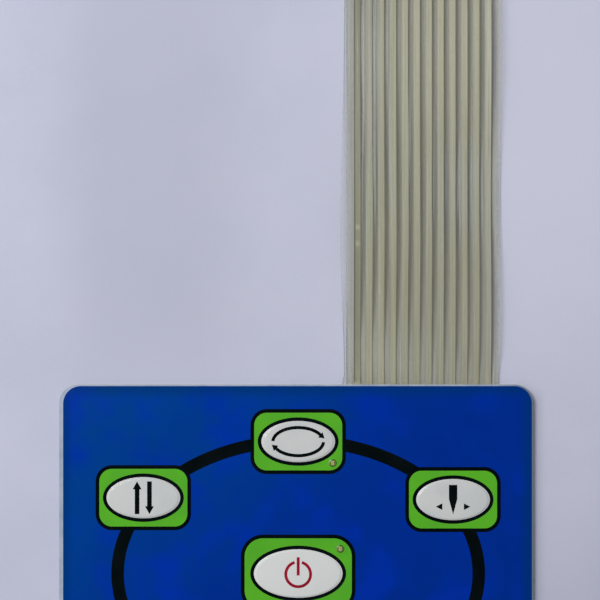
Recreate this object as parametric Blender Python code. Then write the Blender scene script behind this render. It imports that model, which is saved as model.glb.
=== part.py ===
"""Membrane keypad: seven domed keys and two lamps in a bonded stack of films, with a printed film tail.

The frame is metres with +Z up. The origin is the middle of the keypad's rear face, +X points to its right,
+Y towards the tail and +Z out of its printed face. The films are stacked from the release liner upwards.
"""

import math
from collections import namedtuple

import bmesh
import bpy
from mathutils import Vector
from mathutils.geometry import delaunay_2d_cdt

# Panel outline
PANEL_WIDTH = 0.1014
PANEL_HEIGHT = 0.0808
PANEL_CORNER_RADIUS = 0.0041

# Film thicknesses, from the rear to the front
LINER_THICKNESS = 0.00012
REAR_ADHESIVE_THICKNESS = 0.00013
CIRCUIT_FILM_THICKNESS = 0.000125
SILVER_THICKNESS = 0.00003
SPACER_THICKNESS = 0.00035
OVERLAY_ADHESIVE_THICKNESS = 0.00013
OVERLAY_THICKNESS = 0.00025
TAIL_COVER_THICKNESS = 0.0001
BOND_GAP = 0.00001

# Keys, placed from the panel's edges, and how far right of its middle they are printed
PRINT_OFFSET = 0.0004
SIDE_KEY_SIDE_INSET = 0.0176
SIDE_KEY_END_INSET = 0.0244
END_KEY_INSET = 0.0122
SMALL_KEY_WIDTH = 0.0204
SMALL_KEY_HEIGHT = 0.0139
SMALL_OVAL_WIDTH = 0.0173
SMALL_OVAL_HEIGHT = 0.01035
CENTRE_KEY_WIDTH = 0.0245
CENTRE_KEY_HEIGHT = 0.0166
CENTRE_OVAL_WIDTH = 0.0205
CENTRE_OVAL_HEIGHT = 0.0119
KEY_CORNER_RADIUS = 0.0033
KEY_LINE = 0.00079
OVAL_LINE = 0.00077
RING_BAND = 0.0027
RING_SIDE_OUTSET = 0.0055
RING_END_OUTSET = 0.00015

# Raised ovals and lamp windows of the overlay
EMBOSS_HEIGHT = 0.0003
EMBOSS_SHOULDER = 0.0009
WINDOW_RADIUS = 0.00086
WINDOW_HEIGHT = 0.00022

# Snap domes and the contacts below them
DOME_RADIUS = 0.0059
DOME_RISE = 0.00045
DOME_SHEET = 0.00007
DOME_DIMPLE_RADIUS = 0.0008
DOME_DIMPLE_DEPTH = 0.00006
CONTACT_RING_BAND = 0.0010
CONTACT_RING_OVERHANG = 0.0001
CONTACT_PAD_RADIUS = 0.0020
DOME_HOLE_CLEARANCE = 0.0004
VENT_WIDTH = 0.0010

# Lamps, placed from the middle of their key
TOP_LAMP_X = 0.0074
TOP_LAMP_Y = -0.0046
CENTRE_LAMP_X = 0.0090
CENTRE_LAMP_Y = 0.00525
LAMP_LENGTH = 0.0016
LAMP_WIDTH = 0.0008
LAMP_HEIGHT = 0.00044
LAMP_BASE_HEIGHT = 0.00018
LAMP_LENS_INSET = 0.00012
LAMP_PAD_SPACING = 0.0015
LAMP_PAD_WIDTH = 0.0007
LAMP_HOLE_CLEARANCE = 0.0003

# Printed lines
LINE_WIDTH = 0.0006
LINE_CLEARANCE = 0.0006
LINE_EDGE_MARGIN = 0.0024
TAIL_LINE_WIDTH = 0.0014
TAIL_LINE_TAPER = 0.0008
LINE_PITCH = 0.00254
LINE_END_MARGIN = 0.0003

# Tail
TAIL_CENTRE_INSET = 0.0237
TAIL_LENGTH = 0.110
TAIL_LEFT_MARGIN = 0.0032
TAIL_RIGHT_MARGIN = 0.0027
TAIL_CREST_DISTANCE = 0.030
TAIL_CREST_HEIGHT = 0.0019
TAIL_VALLEY_DISTANCE = 0.078
TAIL_VALLEY_HEIGHT = 0.0009
TAIL_TIP_LENGTH = 0.0060
TAIL_TIP_MARGIN = 0.0017
TAIL_STATIONS = 22
COVER_TONGUE = 0.0050
COVER_LEFT_INSET = 0.0008
COVER_RIGHT_INSET = 0.0005
COVER_NOTCH_CLEARANCE = 0.0004

# Connector
HOUSING_HEIGHT = 0.0030
HOUSING_WALL = 0.0005
HOUSING_END_WALL = 0.0011
HOUSING_FRONT_LENGTH = 0.0082
HOUSING_MOUTH_OVERLAP = 0.0057
HOUSING_EDGE_BEVEL = 0.00025
CAVITY_WIDTH = 0.0020
LATCH_WINDOW_WIDTH = 0.0012
LATCH_WINDOW_LENGTH = 0.0020
LATCH_WINDOW_SETBACK = 0.0030
LANCE_WIDTH = 0.0008
LANCE_LENGTH = 0.0013
LANCE_HEIGHT = 0.0003
TERMINAL_CLEARANCE = 0.00012
TERMINAL_SHEET = 0.0002
TERMINAL_RECESS = 0.0005
TERMINAL_LENGTH = 0.0070
TERMINAL_JAW_LENGTH = 0.0042
TERMINAL_GRIP_GAP = 0.00002

# Printed symbols on the ovals
ARROW_SPREAD = 0.00132
ARROW_HEIGHT = 0.0070
ARROW_SHAFT = 0.0010
ARROW_HEAD_WIDTH = 0.0019
ARROW_HEAD_LENGTH = 0.0017
TURN_HALF_WIDTH = 0.0054
TURN_HALF_HEIGHT = 0.0030
TURN_STROKE = 0.0007
TURN_START_ANGLE = math.radians(2)
TURN_HEAD_ANGLE = math.radians(29)
TURN_HEAD_LENGTH = 0.0012
TURN_HEAD_WIDTH = 0.0015
NEEDLE_WIDTH = 0.0018
NEEDLE_SHOULDER = 0.0030
NEEDLE_LENGTH = 0.0063
SIDE_MARK_OFFSET = 0.0030
SIDE_MARK_SIZE = 0.0014
POWER_RADIUS = 0.00265
POWER_STROKE = 0.00063
POWER_DROP = 0.00015
POWER_GAP_ANGLE = math.radians(34)
POWER_BAR_LENGTH = 0.0039
POWER_BAR_RISE = 0.0010
PLAIN_MARK_SIZE = 0.0044
PLAIN_MARK_STROKE = 0.0009

# Facets along round outlines
CORNER_FACETS = 6
OVAL_FACETS = 32
RING_FACETS = 96
CIRCLE_FACETS = 20
WINDOW_FACETS = 12

Key = namedtuple("Key", "name x y width height oval_width oval_height opening")
Lamp = namedtuple("Lamp", "name x y")

EAST = 0.0
NORTH = math.pi / 2
WEST = math.pi

half_width = PANEL_WIDTH / 2
half_height = PANEL_HEIGHT / 2
side_key_x = half_width - SIDE_KEY_SIDE_INSET
side_key_y = half_height - SIDE_KEY_END_INSET
end_key_y = half_height - END_KEY_INSET


def small_key(name, x, y, opening):
    return Key(name, x, y, SMALL_KEY_WIDTH, SMALL_KEY_HEIGHT, SMALL_OVAL_WIDTH, SMALL_OVAL_HEIGHT, opening)


TOP = small_key("top", PRINT_OFFSET, end_key_y, EAST)
UPPER_LEFT = small_key("upper_left", PRINT_OFFSET - side_key_x, side_key_y, EAST)
UPPER_RIGHT = small_key("upper_right", PRINT_OFFSET + side_key_x, side_key_y, NORTH)
CENTRE = Key(
    "centre", PRINT_OFFSET, 0.0, CENTRE_KEY_WIDTH, CENTRE_KEY_HEIGHT, CENTRE_OVAL_WIDTH,
    CENTRE_OVAL_HEIGHT, EAST,
)
LOWER_LEFT = small_key("lower_left", PRINT_OFFSET - side_key_x, -side_key_y, EAST)
LOWER_RIGHT = small_key("lower_right", PRINT_OFFSET + side_key_x, -side_key_y, WEST)
BOTTOM = small_key("bottom", PRINT_OFFSET, -end_key_y, EAST)
KEYS = (TOP, UPPER_LEFT, UPPER_RIGHT, CENTRE, LOWER_LEFT, LOWER_RIGHT, BOTTOM)

TOP_LAMP = Lamp("top", TOP.x + TOP_LAMP_X, TOP.y + TOP_LAMP_Y)
CENTRE_LAMP = Lamp("centre", CENTRE.x + CENTRE_LAMP_X, CENTRE.y + CENTRE_LAMP_Y)
LAMPS = (TOP_LAMP, CENTRE_LAMP)

# Heights of the films' lower faces
rear_adhesive_z = LINER_THICKNESS + BOND_GAP
circuit_film_z = rear_adhesive_z + REAR_ADHESIVE_THICKNESS + BOND_GAP
silver_z = circuit_film_z + CIRCUIT_FILM_THICKNESS + BOND_GAP
spacer_z = silver_z + SILVER_THICKNESS + BOND_GAP
overlay_adhesive_z = spacer_z + SPACER_THICKNESS + BOND_GAP
overlay_z = overlay_adhesive_z + OVERLAY_ADHESIVE_THICKNESS + BOND_GAP

# Tail and connector places
LINE_COUNT = 12
tail_x = half_width - TAIL_CENTRE_INSET
tail_start = half_height
tail_end = half_height + TAIL_LENGTH
line_half_span = (LINE_COUNT - 1) * LINE_PITCH / 2
tail_left = tail_x - line_half_span - TAIL_LEFT_MARGIN
tail_right = tail_x + line_half_span + TAIL_RIGHT_MARGIN
tip_half_width = line_half_span + TAIL_TIP_MARGIN
tip_start = tail_end - TAIL_TIP_LENGTH
tip_height = (HOUSING_HEIGHT - CIRCUIT_FILM_THICKNESS) / 2
housing_rear = tail_end - HOUSING_MOUTH_OVERLAP
housing_front = tail_end + LINE_END_MARGIN + HOUSING_FRONT_LENGTH
terminal_front = housing_front - TERMINAL_RECESS
terminal_back = terminal_front - TERMINAL_LENGTH
contact_ring_radius = DOME_RADIUS + CONTACT_RING_OVERHANG


def line_x(index):
    """Middle of one printed line where it runs along the tail."""
    return tail_x + (index - (LINE_COUNT - 1) / 2) * LINE_PITCH


def level(x, y):
    return 0.0


def eased(share):
    """A step from 0 to 1 that starts and ends level."""
    share = min(max(share, 0.0), 1.0)
    return share * share * (3 - 2 * share)


def tail_rise(x, y):
    """Lift of the tail above its level in the panel, over a crest, into a valley and up to the connector."""
    crest_y = tail_start + TAIL_CREST_DISTANCE
    valley_y = tail_start + TAIL_VALLEY_DISTANCE
    height = circuit_film_z
    height += (TAIL_CREST_HEIGHT - circuit_film_z) * eased((y - tail_start) / (crest_y - tail_start))
    height += (TAIL_VALLEY_HEIGHT - TAIL_CREST_HEIGHT) * eased((y - crest_y) / (valley_y - crest_y))
    height += (tip_height - TAIL_VALLEY_HEIGHT) * eased((y - valley_y) / (tip_start - valley_y))
    return height - circuit_film_z


def oval_rise(share_inside):
    """Height of a raised form, from 0 at its rim to 1 on its crown, as its shoulder rounds over."""
    if share_inside <= 0:
        return 0.0
    if share_inside >= 1:
        return 1.0
    return math.sin(share_inside * math.pi / 2)


def oval_depth(key, x, y):
    """How far inside the oval's rim a point lies, measured towards its middle."""
    half_w = key.oval_width / 2 - OVAL_LINE
    half_h = key.oval_height / 2 - OVAL_LINE
    share = math.hypot((x - key.x) / half_w, (y - key.y) / half_h)
    return (1 - share) * half_h


def emboss(x, y):
    """Height of the overlay's raised ovals and lamp windows at a point."""
    for lamp in LAMPS:
        inside = WINDOW_RADIUS - math.hypot(x - lamp.x, y - lamp.y)
        if inside > 0:
            return WINDOW_HEIGHT * oval_rise(inside / WINDOW_RADIUS)
    heights = [oval_rise(oval_depth(key, x, y) / EMBOSS_SHOULDER) for key in KEYS]
    return EMBOSS_HEIGHT * max(heights)


# Flat outlines, each a list of points that runs anticlockwise


def ellipse(x, y, half_w, half_h, facets):
    angles = [2 * math.pi * i / facets for i in range(facets)]
    return [(x + half_w * math.cos(a), y + half_h * math.sin(a)) for a in angles]


def circle(x, y, radius, facets=CIRCLE_FACETS):
    return ellipse(x, y, radius, radius, facets)


def rectangle(left, lower, right, upper):
    return [(left, lower), (right, lower), (right, upper), (left, upper)]


def rounded_rectangle(x, y, width, height, radius):
    points = []
    for quarter, (side_x, side_y) in enumerate([(1, 1), (-1, 1), (-1, -1), (1, -1)]):
        corner_x = x + side_x * (width / 2 - radius)
        corner_y = y + side_y * (height / 2 - radius)
        for step in range(CORNER_FACETS + 1):
            angle = (quarter + step / CORNER_FACETS) * math.pi / 2
            points.append((corner_x + radius * math.cos(angle), corner_y + radius * math.sin(angle)))
    return points


def turned(points, x, y, angle):
    """Points given about the origin, turned by an angle and moved to a place."""
    c, s = math.cos(angle), math.sin(angle)
    return [(x + c * px - s * py, y + s * px + c * py) for px, py in points]


def anticlockwise(points):
    following = points[1:] + points[:1]
    area = sum(a[0] * b[1] - b[0] * a[1] for a, b in zip(points, following))
    return points if area > 0 else points[::-1]


def stroke(path, widths):
    """Outline of a line drawn along a path, with mitred corners and a width at each point."""
    steps = [(Vector(b) - Vector(a)).normalized() for a, b in zip(path, path[1:])]
    steps = [steps[0]] + steps + [steps[-1]]
    left, right = [], []
    for point, before, after, width in zip(path, steps, steps[1:], widths):
        along = (before + after).normalized()
        across = Vector((-along.y, along.x)) * (width / 2 / along.dot(after))
        left.append(tuple(Vector(point) + across))
        right.append(tuple(Vector(point) - across))
    return anticlockwise(right + left[::-1])


def arc(x, y, half_w, half_h, start, end, steps):
    angles = [start + (end - start) * i / steps for i in range(steps + 1)]
    return [(x + half_w * math.cos(a), y + half_h * math.sin(a)) for a in angles]


def panel_outline():
    return rounded_rectangle(0, 0, PANEL_WIDTH, PANEL_HEIGHT, PANEL_CORNER_RADIUS)


def tail_outline():
    """Circuit film's tail: straight sides with a point at each station, and a narrower tip."""
    right = [(tail_right, y) for y in tail_stations()]
    right += [(tail_x + tip_half_width, tip_start), (tail_x + tip_half_width, tail_end)]
    left = [(tail_left, y) for y in tail_stations()]
    left += [(tail_x - tip_half_width, tip_start), (tail_x - tip_half_width, tail_end)]
    return right + left[::-1]


def tail_stations():
    """Places along the tail where it bends, from inside the panel to the tip's shoulder."""
    along = [tail_start + (tip_start - tail_start) * i / TAIL_STATIONS for i in range(TAIL_STATIONS + 1)]
    return [tail_start - COVER_TONGUE] + along


# Building the solids


def triangulate(outlines, folds=()):
    """Points, triangles and, for each triangle, the numbers of the outlines that hold it."""
    points, edges, loops = [], [], []
    for outline in outlines:
        loops.append([len(points) + i for i in range(len(outline))])
        points += [Vector(p) for p in outline]
    for fold in folds:
        edges.append((len(points), len(points) + 1))
        points += [Vector(p) for p in fold]
    verts, _, triangles, _, _, holders = delaunay_2d_cdt(points, edges, loops, 1, 1e-9, True)
    return verts, triangles, holders


def make_material(name, colour, roughness, metallic=0.0, alpha=1.0):
    material = bpy.data.materials.new(name)
    material.use_nodes = True
    shader = material.node_tree.nodes["Principled BSDF"]
    shader.inputs["Base Color"].default_value = (*colour, 1.0)
    shader.inputs["Roughness"].default_value = roughness
    shader.inputs["Metallic"].default_value = metallic
    shader.inputs["Alpha"].default_value = alpha
    material.diffuse_color = (*colour, alpha)
    return material


def add_object(name, mesh, materials, smooth=False):
    bmesh.ops.recalc_face_normals(mesh, faces=mesh.faces)
    data = bpy.data.meshes.new(name)
    mesh.to_mesh(data)
    mesh.free()
    for material in materials:
        data.materials.append(material)
    if smooth:
        data.shade_smooth()
        data.set_sharp_from_angle(angle=math.radians(30))
    piece = bpy.data.objects.new(name, data)
    bpy.context.scene.collection.objects.link(piece)
    piece.parent = KEYPAD
    return piece


def thicken(mesh, thickness):
    """Turn a sheet of faces into a closed solid by lifting a copy of it straight up."""
    lower = list(mesh.faces)
    lifted = bmesh.ops.extrude_face_region(mesh, geom=lower, use_keep_orig=True)
    corners = [item for item in lifted["geom"] if isinstance(item, bmesh.types.BMVert)]
    bmesh.ops.translate(mesh, vec=(0, 0, thickness), verts=corners)


def film(name, material, solids, cuts, bottom, thickness, rise=level, folds=()):
    """A flat film: the union of the solid outlines less the cut ones, given thickness."""
    points, triangles, holders = triangulate(list(solids) + list(cuts), folds)
    mesh = bmesh.new()
    corners = {}
    for triangle, held_by in zip(triangles, holders):
        in_solid = any(number < len(solids) for number in held_by)
        in_cut = any(number >= len(solids) for number in held_by)
        if not in_solid or in_cut:
            continue
        for index in triangle:
            if index not in corners:
                x, y = points[index]
                corners[index] = mesh.verts.new((x, y, bottom + rise(x, y)))
        mesh.faces.new([corners[index] for index in triangle])
    thicken(mesh, thickness)
    return add_object(name, mesh, [material])


def folds_between(left, right):
    """Lines across the tail at its stations, so that it bends along them."""
    return [((left, y), (right, y)) for y in tail_stations()]


# Printed artwork of the overlay, in the order in which its inks cover each other


def arrow(x, tip_y, direction):
    """Straight arrow with its tip at a height, pointing up for 1 and down for -1."""
    head_y = tip_y - direction * ARROW_HEAD_LENGTH
    tail_y = tip_y - direction * ARROW_HEIGHT
    half_head, half_shaft = ARROW_HEAD_WIDTH / 2, ARROW_SHAFT / 2
    points = [
        (x, tip_y), (x - half_head, head_y), (x - half_shaft, head_y), (x - half_shaft, tail_y),
        (x + half_shaft, tail_y), (x + half_shaft, head_y), (x + half_head, head_y),
    ]
    return anticlockwise(points)


def turning_arrows(key):
    """Two curved arrows that chase each other clockwise round a flat ellipse."""
    steps = 14
    shapes = []
    for start in (math.pi, 0.0):
        first, last = start - TURN_START_ANGLE, start - math.pi + TURN_HEAD_ANGLE
        path = arc(key.x, key.y, TURN_HALF_WIDTH, TURN_HALF_HEIGHT, first, last, steps)
        shapes.append(stroke(path, [TURN_STROKE] * len(path)))
        ahead = Vector(path[-1]) - Vector(path[-2])
        head = [(TURN_HEAD_LENGTH, 0), (0, TURN_HEAD_WIDTH / 2), (0, -TURN_HEAD_WIDTH / 2)]
        shapes.append(anticlockwise(turned(head, *path[-1], math.atan2(ahead.y, ahead.x))))
    return shapes


def needle_marks(key):
    """Needle that points down between two small triangles that point outwards."""
    half = NEEDLE_WIDTH / 2
    upper = key.y + NEEDLE_LENGTH / 2
    shoulder = upper - NEEDLE_SHOULDER
    needle = [(key.x - half, upper), (key.x - half, shoulder), (key.x, upper - NEEDLE_LENGTH),
              (key.x + half, shoulder), (key.x + half, upper)]
    mark_y = key.y - SIDE_MARK_OFFSET / 2
    shapes = [anticlockwise(needle)]
    for side in (-1, 1):
        base = key.x + side * (SIDE_MARK_OFFSET - SIDE_MARK_SIZE / 2)
        mark = [(base, mark_y - SIDE_MARK_SIZE / 2), (base + side * SIDE_MARK_SIZE, mark_y),
                (base, mark_y + SIDE_MARK_SIZE / 2)]
        shapes.append(anticlockwise(mark))
    return shapes


def power_mark(key):
    """Open circle with a bar in its gap."""
    half_gap = POWER_GAP_ANGLE / 2
    y = key.y - POWER_DROP
    path = arc(key.x, y, POWER_RADIUS, POWER_RADIUS, NORTH + half_gap, NORTH + 2 * math.pi - half_gap, 28)
    upper = y + POWER_RADIUS + POWER_BAR_RISE
    bar = rectangle(key.x - POWER_STROKE / 2, upper - POWER_BAR_LENGTH, key.x + POWER_STROKE / 2, upper)
    return [stroke(path, [POWER_STROKE] * len(path)), bar]


def bar_mark(key, lengthwise):
    half, thin = PLAIN_MARK_SIZE / 2, PLAIN_MARK_STROKE / 2
    across, up = (half, thin) if lengthwise else (thin, half)
    return rectangle(key.x - across, key.y - up, key.x + across, key.y + up)


def symbols():
    """Every printed symbol with its ink."""
    half_arrow = ARROW_HEIGHT / 2
    shapes = [
        ("black", arrow(UPPER_LEFT.x - ARROW_SPREAD, UPPER_LEFT.y + half_arrow, 1)),
        ("black", arrow(UPPER_LEFT.x + ARROW_SPREAD, UPPER_LEFT.y - half_arrow, -1)),
        ("black", bar_mark(LOWER_LEFT, True)),
        ("black", bar_mark(LOWER_RIGHT, True)),
        ("black", bar_mark(LOWER_RIGHT, False)),
        ("black", circle(BOTTOM.x, BOTTOM.y, PLAIN_MARK_SIZE / 2)),
    ]
    shapes += [("black", shape) for shape in turning_arrows(TOP) + needle_marks(UPPER_RIGHT)]
    shapes += [("red", shape) for shape in power_mark(CENTRE)]
    return shapes


def overlay_artwork():
    """Ink and outline of each printed field, from the ground colour to the symbols."""
    ring_w, ring_h = side_key_x + RING_SIDE_OUTSET, end_key_y + RING_END_OUTSET
    half_band = RING_BAND / 2
    fields = [
        ("blue", panel_outline()),
        ("black", ellipse(PRINT_OFFSET, 0, ring_w + half_band, ring_h + half_band, RING_FACETS)),
        ("blue", ellipse(PRINT_OFFSET, 0, ring_w - half_band, ring_h - half_band, RING_FACETS)),
    ]
    for key in KEYS:
        inner_radius = KEY_CORNER_RADIUS - KEY_LINE
        fields.append(("black", rounded_rectangle(key.x, key.y, key.width, key.height, KEY_CORNER_RADIUS)))
        inner = (key.width - 2 * KEY_LINE, key.height - 2 * KEY_LINE)
        fields.append(("green", rounded_rectangle(key.x, key.y, *inner, inner_radius)))
        half_w, half_h = key.oval_width / 2, key.oval_height / 2
        fields.append(("black", ellipse(key.x, key.y, half_w, half_h, OVAL_FACETS)))
        fields.append(("white", ellipse(key.x, key.y, half_w - OVAL_LINE, half_h - OVAL_LINE, OVAL_FACETS)))
    for lamp in LAMPS:
        fields.append(("clear", circle(lamp.x, lamp.y, WINDOW_RADIUS, WINDOW_FACETS)))
    return fields + symbols()


def emboss_steps():
    """Extra outlines inside the raised forms, where their shoulders turn."""
    outlines = []
    for key in KEYS:
        half_w, half_h = key.oval_width / 2 - OVAL_LINE, key.oval_height / 2 - OVAL_LINE
        for share in (0.5, 1.0):
            left = 1 - share * EMBOSS_SHOULDER / half_h
            outlines.append(ellipse(key.x, key.y, half_w * left, half_h * left, OVAL_FACETS))
    for lamp in LAMPS:
        outlines.append(circle(lamp.x, lamp.y, WINDOW_RADIUS * 2 / 3, WINDOW_FACETS))
        outlines.append(circle(lamp.x, lamp.y, WINDOW_RADIUS / 3, WINDOW_FACETS))
    return outlines


def make_graphic_overlay():
    """Printed face film: one sheet whose top faces take the ink that lies over them."""
    fields = overlay_artwork()
    outlines = [outline for _, outline in fields] + emboss_steps()
    points, triangles, holders = triangulate(outlines)
    inks = list(INKS)
    mesh = bmesh.new()
    corners = [mesh.verts.new((p.x, p.y, overlay_z + emboss(p.x, p.y))) for p in points]
    for triangle, held_by in zip(triangles, holders):
        face = mesh.faces.new([corners[index] for index in triangle])
        uppermost = max(number for number in held_by if number < len(fields))
        face.material_index = inks.index(fields[uppermost][0])
    thicken(mesh, OVERLAY_THICKNESS)
    return add_object("graphic_overlay", mesh, list(INKS.values()))


# Films below the overlay


def make_overlay_adhesive():
    cuts = [ellipse(k.x, k.y, k.oval_width / 2, k.oval_height / 2, OVAL_FACETS) for k in KEYS]
    cuts += lamp_holes()
    film(
        "overlay_adhesive", ADHESIVE, [panel_outline()], cuts, overlay_adhesive_z, OVERLAY_ADHESIVE_THICKNESS
    )


def lamp_holes():
    radius = math.hypot(LAMP_LENGTH, LAMP_WIDTH) / 2 + LAMP_HOLE_CLEARANCE
    return [circle(lamp.x, lamp.y, radius, WINDOW_FACETS) for lamp in LAMPS]


def make_spacer():
    """Spacer film: dome holes joined by vent channels that lead out at the tail's notch."""
    half_vent = VENT_WIDTH / 2
    notch_lower = half_height - COVER_TONGUE - COVER_NOTCH_CLEARANCE
    notch_left, notch_right = tail_left - COVER_NOTCH_CLEARANCE, tail_right + COVER_NOTCH_CLEARANCE
    vent_end = notch_lower + half_vent
    cuts = [circle(key.x, key.y, DOME_RADIUS + DOME_HOLE_CLEARANCE) for key in KEYS]
    cuts += [
        rectangle(TOP.x - half_vent, BOTTOM.y, TOP.x + half_vent, TOP.y),
        rectangle(LOWER_LEFT.x - half_vent, LOWER_LEFT.y, LOWER_LEFT.x + half_vent, UPPER_LEFT.y),
        rectangle(LOWER_RIGHT.x - half_vent, LOWER_RIGHT.y, LOWER_RIGHT.x + half_vent, vent_end),
        rectangle(UPPER_LEFT.x, -half_vent, UPPER_RIGHT.x, half_vent),
        rectangle(notch_left, notch_lower, notch_right, half_height + COVER_NOTCH_CLEARANCE),
    ]
    cuts += lamp_holes()
    film("spacer", SPACER_FILM, [panel_outline()], cuts, spacer_z, SPACER_THICKNESS)


def make_rear_films():
    film("release_liner", LINER_PAPER, [panel_outline()], [], 0.0, LINER_THICKNESS)
    film("rear_adhesive", ADHESIVE, [panel_outline()], [], rear_adhesive_z, REAR_ADHESIVE_THICKNESS)


def make_circuit_film():
    """Circuit film: the panel and its tail cut from one sheet."""
    film(
        "circuit_film", CLEAR_FILM, [panel_outline(), tail_outline()], [], circuit_film_z,
        CIRCUIT_FILM_THICKNESS, tail_rise, folds_between(tail_left, tail_right),
    )


def make_tail_cover():
    """Clear cover over the tail's lines, from its tongue in the spacer's notch to the tip's shoulder."""
    left, right = tail_left + COVER_LEFT_INSET, tail_right - COVER_RIGHT_INSET
    outline = [(right, y) for y in tail_stations()] + [(left, y) for y in reversed(tail_stations())]
    film(
        "tail_cover", CLEAR_FILM, [outline], [], silver_z + SILVER_THICKNESS + BOND_GAP,
        TAIL_COVER_THICKNESS, tail_rise, folds_between(left, right),
    )


# Snap domes and lamps


def make_snap_dome(key):
    """Round sprung dome with a centre dimple, turned from its section."""
    ball = (DOME_RADIUS**2 + DOME_RISE**2) / (2 * DOME_RISE)
    radii = [0.0, DOME_DIMPLE_RADIUS, 2 * DOME_DIMPLE_RADIUS]
    radii += [radii[-1] + (DOME_RADIUS - radii[-1]) * share for share in (0.5, 1.0)]

    def height(radius):
        cap = math.sqrt(ball**2 - radius**2) - (ball - DOME_RISE)
        return cap - DOME_DIMPLE_DEPTH if radius <= DOME_DIMPLE_RADIUS else cap

    base = silver_z + SILVER_THICKNESS + BOND_GAP
    upper = [(r, base + height(r) + DOME_SHEET) for r in radii]
    lower = [(r, base + height(r)) for r in reversed(radii)]
    mesh = bmesh.new()
    profile = [mesh.verts.new((key.x + r, key.y, z)) for r, z in upper + lower]
    edges = [mesh.edges.new(pair) for pair in zip(profile, profile[1:])]
    bmesh.ops.spin(
        mesh, geom=profile + edges, cent=(key.x, key.y, 0), axis=(0, 0, 1), angle=2 * math.pi,
        steps=CIRCLE_FACETS, use_merge=True,
    )
    bmesh.ops.remove_doubles(mesh, verts=mesh.verts, dist=1e-7)
    return add_object("snap_dome_" + key.name, mesh, [DOME_STEEL], smooth=True)


def box(mesh, left, lower, bottom, right, upper, top):
    """A box in a mesh, given by its two corners."""
    made = bmesh.ops.create_cube(mesh, size=1.0)["verts"]
    bmesh.ops.scale(mesh, vec=(right - left, upper - lower, top - bottom), verts=made)
    middle = ((left + right) / 2, (lower + upper) / 2, (bottom + top) / 2)
    bmesh.ops.translate(mesh, vec=middle, verts=made)
    return made


def face_at(mesh, direction, place):
    """The face that looks along a direction and whose middle is nearest to a place."""
    mesh.normal_update()
    facing = [face for face in mesh.faces if face.normal.dot(Vector(direction)) > 0.9]
    return min(facing, key=lambda face: (face.calc_center_median() - Vector(place)).length)


def draw_out(mesh, face, shift):
    """Extrude one face by a shift, which hollows the body when it points inwards."""
    drawn = bmesh.ops.extrude_face_region(mesh, geom=[face])
    corners = [item for item in drawn["geom"] if isinstance(item, bmesh.types.BMVert)]
    bmesh.ops.delete(mesh, geom=[face], context="FACES_ONLY")
    bmesh.ops.translate(mesh, vec=shift, verts=corners)


def make_lamp(lamp):
    """Chip lamp: a flat base with a narrower lens on it."""
    base = silver_z + SILVER_THICKNESS + BOND_GAP
    half_w, half_l = LAMP_WIDTH / 2, LAMP_LENGTH / 2
    shoulder = base + LAMP_BASE_HEIGHT
    mesh = bmesh.new()
    box(mesh, lamp.x - half_w, lamp.y - half_l, base, lamp.x + half_w, lamp.y + half_l, shoulder)
    top = face_at(mesh, (0, 0, 1), (lamp.x, lamp.y, shoulder))
    bmesh.ops.inset_region(mesh, faces=[top], thickness=LAMP_LENS_INSET)
    draw_out(mesh, top, (0, 0, LAMP_HEIGHT - LAMP_BASE_HEIGHT))
    return add_object("lamp_" + lamp.name, mesh, [LAMP_RESIN])


# Printed silver lines: each runs down the tail, along its own row, down its own column and to its contact


def spread(first, last, index, count):
    return first + (last - first) * index / (count - 1)


def row_y(index):
    """Height at which a line leaves the tail sideways: the first is outermost, the last just above a dome."""
    outermost = half_height - LINE_EDGE_MARGIN
    innermost = UPPER_RIGHT.y + contact_ring_radius + LINE_CLEARANCE + LINE_WIDTH
    return spread(outermost, innermost, index, LINE_COUNT)


def column_x(index):
    """Place across the panel where a line runs down between the centre key's lamp and the side keys."""
    first = CENTRE_LAMP.x + LAMP_WIDTH + LINE_CLEARANCE
    last = UPPER_RIGHT.x - contact_ring_radius - LINE_CLEARANCE - LINE_WIDTH / 2
    return spread(first, last, index - 1, LINE_COUNT - 2)


def tail_run(index):
    """Path and widths of a line from the tip of the tail to its row in the panel."""
    x = line_x(index)
    ys = [tail_end - LINE_END_MARGIN] + tail_stations()[:0:-1]
    path = [(x, y) for y in ys]
    taper_y = max(tail_start - TAIL_LINE_TAPER, row_y(index) + LINE_WIDTH)
    return path + [(x, taper_y)], [TAIL_LINE_WIDTH] * len(path) + [LINE_WIDTH]


def silver(name, outlines, cuts=()):
    film(name, SILVER_INK, outlines, cuts, silver_z, SILVER_THICKNESS, tail_rise)


def make_key_line(key, index, turns):
    """Line from the tail to the round pad under a key's dome."""
    path, widths = tail_run(index)
    path += turns + [(key.x, key.y)]
    widths += [LINE_WIDTH] * (len(turns) + 1)
    pad = circle(key.x, key.y, CONTACT_PAD_RADIUS)
    silver("silver_" + key.name, [stroke(path, widths), pad])


def make_lamp_line(lamp, index, side, ending):
    """Line from the tail to one end of a lamp, side 1 for its upper pad and -1 for its lower."""
    pad_y = lamp.y + side * LAMP_PAD_SPACING / 2
    path, widths = tail_run(index)
    path += [(line_x(index), row_y(index)), (column_x(index), row_y(index)), (column_x(index), pad_y)]
    path += [(lamp.x - LAMP_WIDTH / 2, pad_y)]
    widths += [LINE_WIDTH] * 4
    pad_half = LAMP_PAD_WIDTH / 2
    pad = rectangle(lamp.x - LAMP_WIDTH / 2, pad_y - pad_half, lamp.x + LAMP_WIDTH / 2, pad_y + pad_half)
    silver("silver_lamp_" + lamp.name + ending, [stroke(path, widths), pad])


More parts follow.
